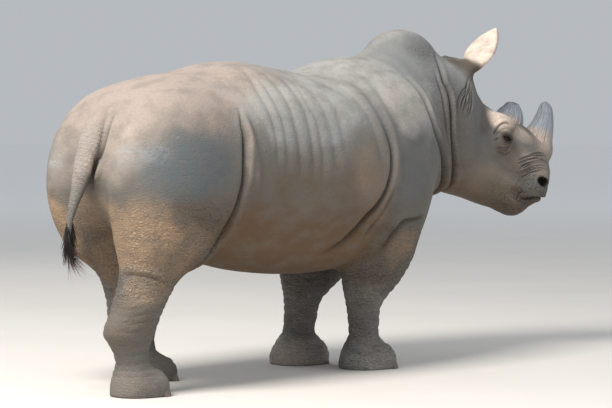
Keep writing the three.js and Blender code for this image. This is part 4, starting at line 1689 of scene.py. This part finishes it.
class RHINO_OT_horns(bpy.types.Operator):
    """Make the two fibrous horns"""

    bl_idname = "rhino.horns"
    bl_label = "Horns"

    def execute(self, context):
        settings = context.scene.rhino_horn
        rounds = settings.rounds
        material = horn_material(settings)
        for name, (line, girth) in HORN_LINES.items():
            placed = HEAD.out([[a, 0, up] for a, up in line])
            rings = horn_rings(placed, girth, rounds, len(name))
            ends = np.stack([rings[-1].mean(0), rings[0].mean(0)])
            points = np.concatenate([rings.reshape(-1, 3), ends])
            foot = np.arange(rounds)
            top = foot + (HORN_RINGS - 1) * rounds
            tip_cap = np.stack([top, np.roll(top, -1), np.full_like(top, len(points) - 2)], 1)
            foot_cap = np.stack([np.roll(foot, -1), foot, np.full_like(foot, len(points) - 1)], 1)
            sides = in_triangles(ring_faces(HORN_RINGS, rounds))
            faces = np.concatenate([sides, tip_cap, foot_cap])
            horn = mesh_piece(f"horn_{name}_shown", to_frame(points), faces)
            height = np.repeat(np.linspace(0, 1, HORN_RINGS), rounds)
            add_share(horn, "height", np.append(height, [1, 0]))
            around = np.tile(np.abs(np.arange(rounds) / rounds * 2 - 1), HORN_RINGS)
            add_share(horn, "turn", np.append(around, [0, 0]) * 6)
            finish_piece(horn, material, "horn", f"horn_{name}")
        return {"FINISHED"}


EYE_RINGS, EYE_SIDES = 40, 64


class RHINO_OT_eyes(bpy.types.Operator):
    """Make the two wet eyes behind their lids"""

    bl_idname = "rhino.eyes"
    bl_label = "Eyes"

    def execute(self, context):
        settings = context.scene.rhino_eye
        material = eye_material(settings)
        share = np.linspace(0, np.pi, EYE_RINGS)
        turn = circle(EYE_SIDES)
        bulge = 1.0 + 0.05 * np.exp(-((share / 0.5) ** 2))
        out = np.repeat((np.cos(share) * EYE_RADIUS * bulge)[:, None], EYE_SIDES, 1)
        ring = np.sin(share) * EYE_RADIUS * bulge
        ball = np.stack([np.outer(ring, np.cos(turn)), out, np.outer(ring, np.sin(turn))], -1)
        kept, triangles = closed_rings(EYE_RINGS, EYE_SIDES)
        q = ball.reshape(-1, 3)[kept]
        away = np.hypot(q[:, 0], q[:, 2]) / (settings.iris_size * 1000)
        for name, side in SIDES.items():
            # The right eye's directions are left-handed, so its faces turn round.
            faces = triangles[:, ::-1] if side > 0 else triangles
            points = to_frame(head_axes(EYE_AT, side).out(q))
            eye = mesh_piece(f"eye_{name}_shown", points, faces)
            add_share(eye, "out", away + (q[:, 1] < 0) * 2)
            finish_piece(eye, material, "eye", f"eye_{name}")
        return {"FINISHED"}


NAIL_RINGS, NAIL_SIDES = 30, 56
NAIL_DEPTH, NAIL_OUT, NAIL_LEAN, NAIL_LIFT = 22, 38, 0.24, 12


class RHINO_OT_nails(bpy.types.Operator):
    """Make the three ridged nails of each foot"""

    bl_idname = "rhino.nails"
    bl_label = "Nails"

    def execute(self, context):
        material = nail_material(context.scene.rhino_horn)
        up = np.linspace(0, np.pi, NAIL_RINGS)
        turn = circle(NAIL_SIDES)
        ring = np.sin(up) ** 0.85
        ridges = 1 + 0.012 * np.sin(turn * 26)
        kept, faces = closed_rings(NAIL_RINGS, NAIL_SIDES)
        names = [(leg, toe) for leg in LEGS for toe in TOES]
        for (leg, toe), (spot, wide, high) in zip(names, toe_spots()):
            depth = np.outer(ring, np.cos(turn) * ridges) * NAIL_DEPTH
            width = np.outer(ring, np.sin(turn)) * wide * 0.8
            height = np.repeat((np.cos(up) * high * 0.86)[:, None], NAIL_SIDES, 1)
            q = np.stack([depth, width, height], -1).reshape(-1, 3)
            q[:, 0] += NAIL_OUT - q[:, 2] * NAIL_LEAN
            q = spot.out(q + [0, 0, NAIL_LIFT])
            q[:, 2] = np.maximum(q[:, 2], 0)
            nail = mesh_piece(f"nail_{leg}_{toe}", to_frame(q[kept]), faces[:, ::-1])
            finish_piece(nail, material, "nail", f"toenail_{leg}_{toe}")
        return {"FINISHED"}


def hair_mesh(name, roots, heading, droop, lengths, widths, patch, rng, curl, segments):
    """Tapering three-sided hairs, each with its patch on the map at its root's place."""
    count = len(roots)
    t = np.linspace(0, 1, segments + 1)
    heading = heading / np.linalg.norm(heading, axis=1)[:, None]
    bend = rng.normal(0, curl, (count, 3))
    line = (
        roots[:, None]
        + heading[:, None] * (lengths[:, None] * t)[..., None]
        + (droop[:, None] + bend[:, None] * lengths[:, None, None]) * (t**2)[None, :, None]
    )
    side = np.cross(heading, rng.normal(0, 1, (count, 3)))
    side /= np.linalg.norm(side, axis=1)[:, None]
    other = np.cross(heading, side)
    taper = widths[:, None] * (1 - t**1.5 * 0.93)[None]
    rings = []
    for k in range(3):
        a = 2 * np.pi * k / 3
        away = (side * math.cos(a) + other * math.sin(a))[:, None]
        rings.append(line + away * taper[..., None])
    points = np.stack(rings, 2).reshape(-1, 3)
    quads = ring_faces(segments + 1, 3)
    faces = (np.arange(count)[:, None, None] * 3 * (segments + 1) + quads[None]).reshape(-1, 4)
    piece = mesh_piece(name, to_frame(points), faces)
    add_share(piece, "along", np.tile(np.repeat(t, 3), count))
    uv = piece.data.uv_layers.new(name="OFBake")
    corner = np.array([[0, 0], [1, 0], [1, 1], [0, 1]]) * 0.003
    spots = np.repeat(patch, len(quads), 0)[:, None] * 0.99 + corner[None]
    uv.data.foreach_set("uv", np.ascontiguousarray(spots, np.float32).ravel())
    return piece


def columns(count, *values):
    """Rows of three made from numbers or arrays."""
    return np.stack([np.broadcast_to(np.asarray(v, float), count) for v in values], 1)


def tail_patch(turn, z):
    """Where the tail's hairs lie on their map: round the tail and up it."""
    return np.stack([(turn / (2 * np.pi)) % 1, (z - 650) / 200], 1)


def tail_bristles(count, rng):
    """Stiff hairs in two rows along the tail's end."""
    table = smooth_table([[z, x, g] for (x, _, z), g in zip(TAIL_LINE[::-1], TAIL_GIRTH[::-1])])
    z = rng.uniform(674, 800, count)
    at_x, girth = (np.interp(z, table[:, 0], table[:, k]) for k in (1, 2))
    turn = rng.normal(0, 0.5, count) + np.where(rng.random(count) < 0.5, 0, np.pi)
    roots = columns(count, at_x + np.cos(turn) * girth * 0.7, np.sin(turn) * girth * 0.7, z)
    heading = columns(count, np.cos(turn) * 0.26, np.sin(turn) * 0.16, -1.0)
    heading += rng.normal(0, 0.05, (count, 3))
    lengths = rng.uniform(60, 105, count)
    widths = rng.uniform(1.1, 2.2, count)
    droop = columns(count, 6.0, 0, 0)
    patch = tail_patch(turn, z)
    return hair_mesh(
        "tail_bristles", roots, heading, droop, lengths, widths, patch, rng, curl=0.06, segments=7
    )


def tail_wisps(count, rng):
    """Long loose hairs at the tail's tip."""
    table = smooth_table([[z, x, g] for (x, _, z), g in zip(TAIL_LINE[::-1], TAIL_GIRTH[::-1])])
    z = rng.uniform(672, 720, count)
    at_x = np.interp(z, table[:, 0], table[:, 1])
    turn = rng.uniform(0, 2 * np.pi, count)
    roots = columns(count, at_x + np.cos(turn) * 7, np.sin(turn) * 6, z)
    heading = columns(count, 0.10, -0.05, -1.0) + rng.normal(0, 0.10, (count, 3))
    sweep = rng.uniform(5, 62, count)
    droop = columns(count, sweep, -sweep * 0.7 + rng.normal(0, 8, count), sweep * 0.2)
    lengths = rng.uniform(95, 150, count)
    widths = rng.uniform(0.7, 1.4, count)
    patch = tail_patch(turn, z)
    return hair_mesh(
        "tail_wisps", roots, heading, droop, lengths, widths, patch, rng, curl=0.16, segments=9
    )


def ear_fringe(name, ear, count, rng):
    """Short hairs along both edges of an ear's leaf."""
    side = ear[0]
    axes = ear_axes(*ear)
    leaf = smooth_table(EAR_LEAF)
    share = rng.uniform(0.45, 0.98, count)
    edge = np.where(rng.random(count) < 0.5, 1, -1)
    wide, deep, inward = (np.interp(share, leaf[:, 0], leaf[:, k]) for k in (1, 3, 4))
    across = inward * side + edge * wide * 0.97
    q = columns(count, share * EAR_LENGTH, across, deep + 6 + rng.normal(0, 3, count))
    roots = settle(axes.out(q), 3, 12)
    towards = columns(count, 0.9 + share * 0.6, edge * 0.55, rng.normal(0.25, 0.2, count))
    heading = towards @ axes.turn
    lengths = rng.uniform(4, 11, count)
    widths = rng.uniform(0.35, 0.7, count)
    droop = np.zeros((count, 3))
    patch = np.stack([0.5 + edge * wide / 230, share], 1)
    return hair_mesh(
        f"ear_fringe_{name}", roots, heading, droop, lengths, widths, patch, rng, 0.15, 4
    )


def eye_lashes(name, side, count, rng):
    """Lashes along the upper lid."""
    axes = head_axes(EYE_AT, side)
    a = np.linspace(-20, 20, count) + rng.normal(0, 0.8, count)
    lid = LID_OPEN * (1 - (np.abs(a) / LID_REACH) ** 2) - 3
    out = np.sqrt(np.maximum(26.0**2 - a**2 - lid**2, 30))
    roots = axes.out(columns(count, a, out, lid + 2.0))
    heading = columns(count, a / 60, 0.9, -0.25) @ axes.turn
    lengths = rng.uniform(10, 17, count)
    widths = np.full(count, 0.55)
    droop = np.tile(BROW * -7, (count, 1))
    patch = np.stack([0.5 + a / 60, 0.5 + lid / 100], 1)
    return hair_mesh(f"lashes_{name}", roots, heading, droop, lengths, widths, patch, rng, 0.08, 4)


class RHINO_OT_hair(bpy.types.Operator):
    """Make the tail's tuft, the fringe of the ears and the lashes"""

    bl_idname = "rhino.hair"
    bl_label = "Hair"

    def execute(self, context):
        settings = context.scene.rhino_hair
        rng = np.random.default_rng(7)
        black, rust = settings.black, settings.rust
        bristle = hair_material("Tail bristle", rgb(black), rgb(black, 1.6))
        wisp = hair_material("Rusty wisp", rgb(black), rgb(rust))
        fringe = hair_material("Ear fringe", rgb(black, 18), rgb(rust, 4))
        finish_piece(tail_bristles(settings.tail_hairs, rng), bristle, "tuft", "tail_tuft")
        finish_piece(tail_wisps(settings.tail_hairs // 2, rng), wisp, "tuft")
        for name, ear in EARS.items():
            finish_piece(ear_fringe(name, ear, settings.ear_hairs, rng), fringe, "tuft")
        for name, side in SIDES.items():
            finish_piece(eye_lashes(name, side, settings.lashes, rng), bristle, "tuft")
        return {"FINISHED"}


# ---------------------------------------------------------------- stage
FLOOR_SIDES, FLOOR_RINGS = 96, (0.001, 3, 9, 25, 160)
SKY = (0.90, 0.95, 1.0)
CAMERA_AT = (-8.1476, -7.4643, 1.208)
CAMERA_HEADING, CAMERA_DOWN = 42.5, 1.944
LENS, SENSOR = 128.235, 36
# Each light: where it stands, what it looks at, its size, its setting, a factor on it, its colour.
LAMPS = {
    "Key light": ((-5.6, -0.8, 7.2), (0.0, 0.0, 1.0), 3.2, "key", 1, (1.0, 0.955, 0.90)),
    "Fill light": ((5.5, -6.5, 3.6), (0.3, 0.0, 0.9), 5.0, "fill", 1, (0.90, 0.95, 1.0)),
    "Back light": ((1.5, 7.5, 5.5), (0.0, 0.0, 1.0), 5.0, "fill", 0.9, (1.0, 0.97, 0.92)),
}


def placed_object(name, data, place):
    """An object in the scene that holds a light or a camera."""
    holder = bpy.data.objects.new(name, data)
    holder.location = place
    bpy.context.scene.collection.objects.link(holder)
    return holder


def add_lamp(name, place, target, size, strength, colour):
    """A soft square light that looks at a point."""
    light = bpy.data.lights.new(name, "AREA")
    light.shape = "SQUARE"
    light.size = size
    light.energy = strength
    light.color = colour
    look = Vector(target) - Vector(place)
    placed_object(name, light, place).rotation_euler = look.to_track_quat("-Z", "Y").to_euler()


class RHINO_OT_stage(bpy.types.Operator):
    """Lay the floor and set the lights and the camera"""

    bl_idname = "rhino.stage"
    bl_label = "Stage"

    def execute(self, context):
        settings = context.scene.rhino_stage
        a = circle(FLOOR_SIDES)
        points = [np.stack([np.cos(a) * r, np.sin(a) * r, a * 0], 1) for r in FLOOR_RINGS]
        faces = ring_faces(len(FLOOR_RINGS), FLOOR_SIDES)[:, ::-1]
        floor = mesh_piece("floor", np.concatenate(points), faces)
        floor.data.materials.append(floor_material(settings))
        floor.location.z = -0.001
        world = bpy.data.worlds.new("Even sky")
        world.use_nodes = True
        back = world.node_tree.nodes["Background"]
        back.inputs["Color"].default_value = rgb(SKY)
        back.inputs["Strength"].default_value = settings.sky
        context.scene.world = world
        context.scene.view_settings.view_transform = "Standard"
        for name, (place, target, size, key, factor, colour) in LAMPS.items():
            add_lamp(name, place, target, size, getattr(settings, key) * factor, colour)
        camera = bpy.data.cameras.new("Camera")
        camera.lens = LENS
        camera.sensor_width = SENSOR
        camera.sensor_fit = "HORIZONTAL"
        camera.clip_end = 400
        holder = placed_object("Camera", camera, CAMERA_AT)
        turn = [math.radians(angle) for angle in (90 - CAMERA_DOWN, 0, CAMERA_HEADING - 90)]
        holder.rotation_euler = turn
        context.scene.camera = holder
        return {"FINISHED"}


# ---------------------------------------------------------------- panel and register
class RHINO_PT_panel(bpy.types.Panel):
    """Lists the rhinoceros's pieces and their settings"""

    bl_idname = "RHINO_PT_panel"
    bl_label = "Rhinoceros"
    bl_space_type = "VIEW_3D"
    bl_region_type = "UI"
    bl_category = "Rhinoceros"

    def draw(self, context):
        for name in SETTINGS:
            box = self.layout.box()
            group = getattr(context.scene, name)
            box.label(text=group.bl_rna.description)
            for key in group.bl_rna.properties.keys():
                if key not in ("rna_type", "name"):
                    box.prop(group, key)
        for operator in OPERATORS:
            self.layout.operator(operator.bl_idname)


SETTINGS = {
    "rhino_skin": SkinSettings,
    "rhino_horn": HornSettings,
    "rhino_eye": EyeSettings,
    "rhino_hair": HairSettings,
    "rhino_stage": StageSettings,
}
OPERATORS = (
    RHINO_OT_skin,
    RHINO_OT_horns,
    RHINO_OT_eyes,
    RHINO_OT_nails,
    RHINO_OT_hair,
    RHINO_OT_stage,
)


def register():
    for group in SETTINGS.values():
        bpy.utils.register_class(group)
    for operator in OPERATORS:
        bpy.utils.register_class(operator)
    bpy.utils.register_class(RHINO_PT_panel)
    for name, group in SETTINGS.items():
        setattr(bpy.types.Scene, name, PointerProperty(type=group))


def unregister():
    for name in SETTINGS:
        delattr(bpy.types.Scene, name)
    bpy.utils.unregister_class(RHINO_PT_panel)
    for operator in reversed(OPERATORS):
        bpy.utils.unregister_class(operator)
    for group in reversed(list(SETTINGS.values())):
        bpy.utils.unregister_class(group)


def main():
    register()
    bpy.ops.rhino.skin()
    bpy.ops.rhino.horns()
    bpy.ops.rhino.eyes()
    bpy.ops.rhino.nails()
    bpy.ops.rhino.hair()
    bpy.ops.rhino.stage()


if __name__ == "__main__":
    main()
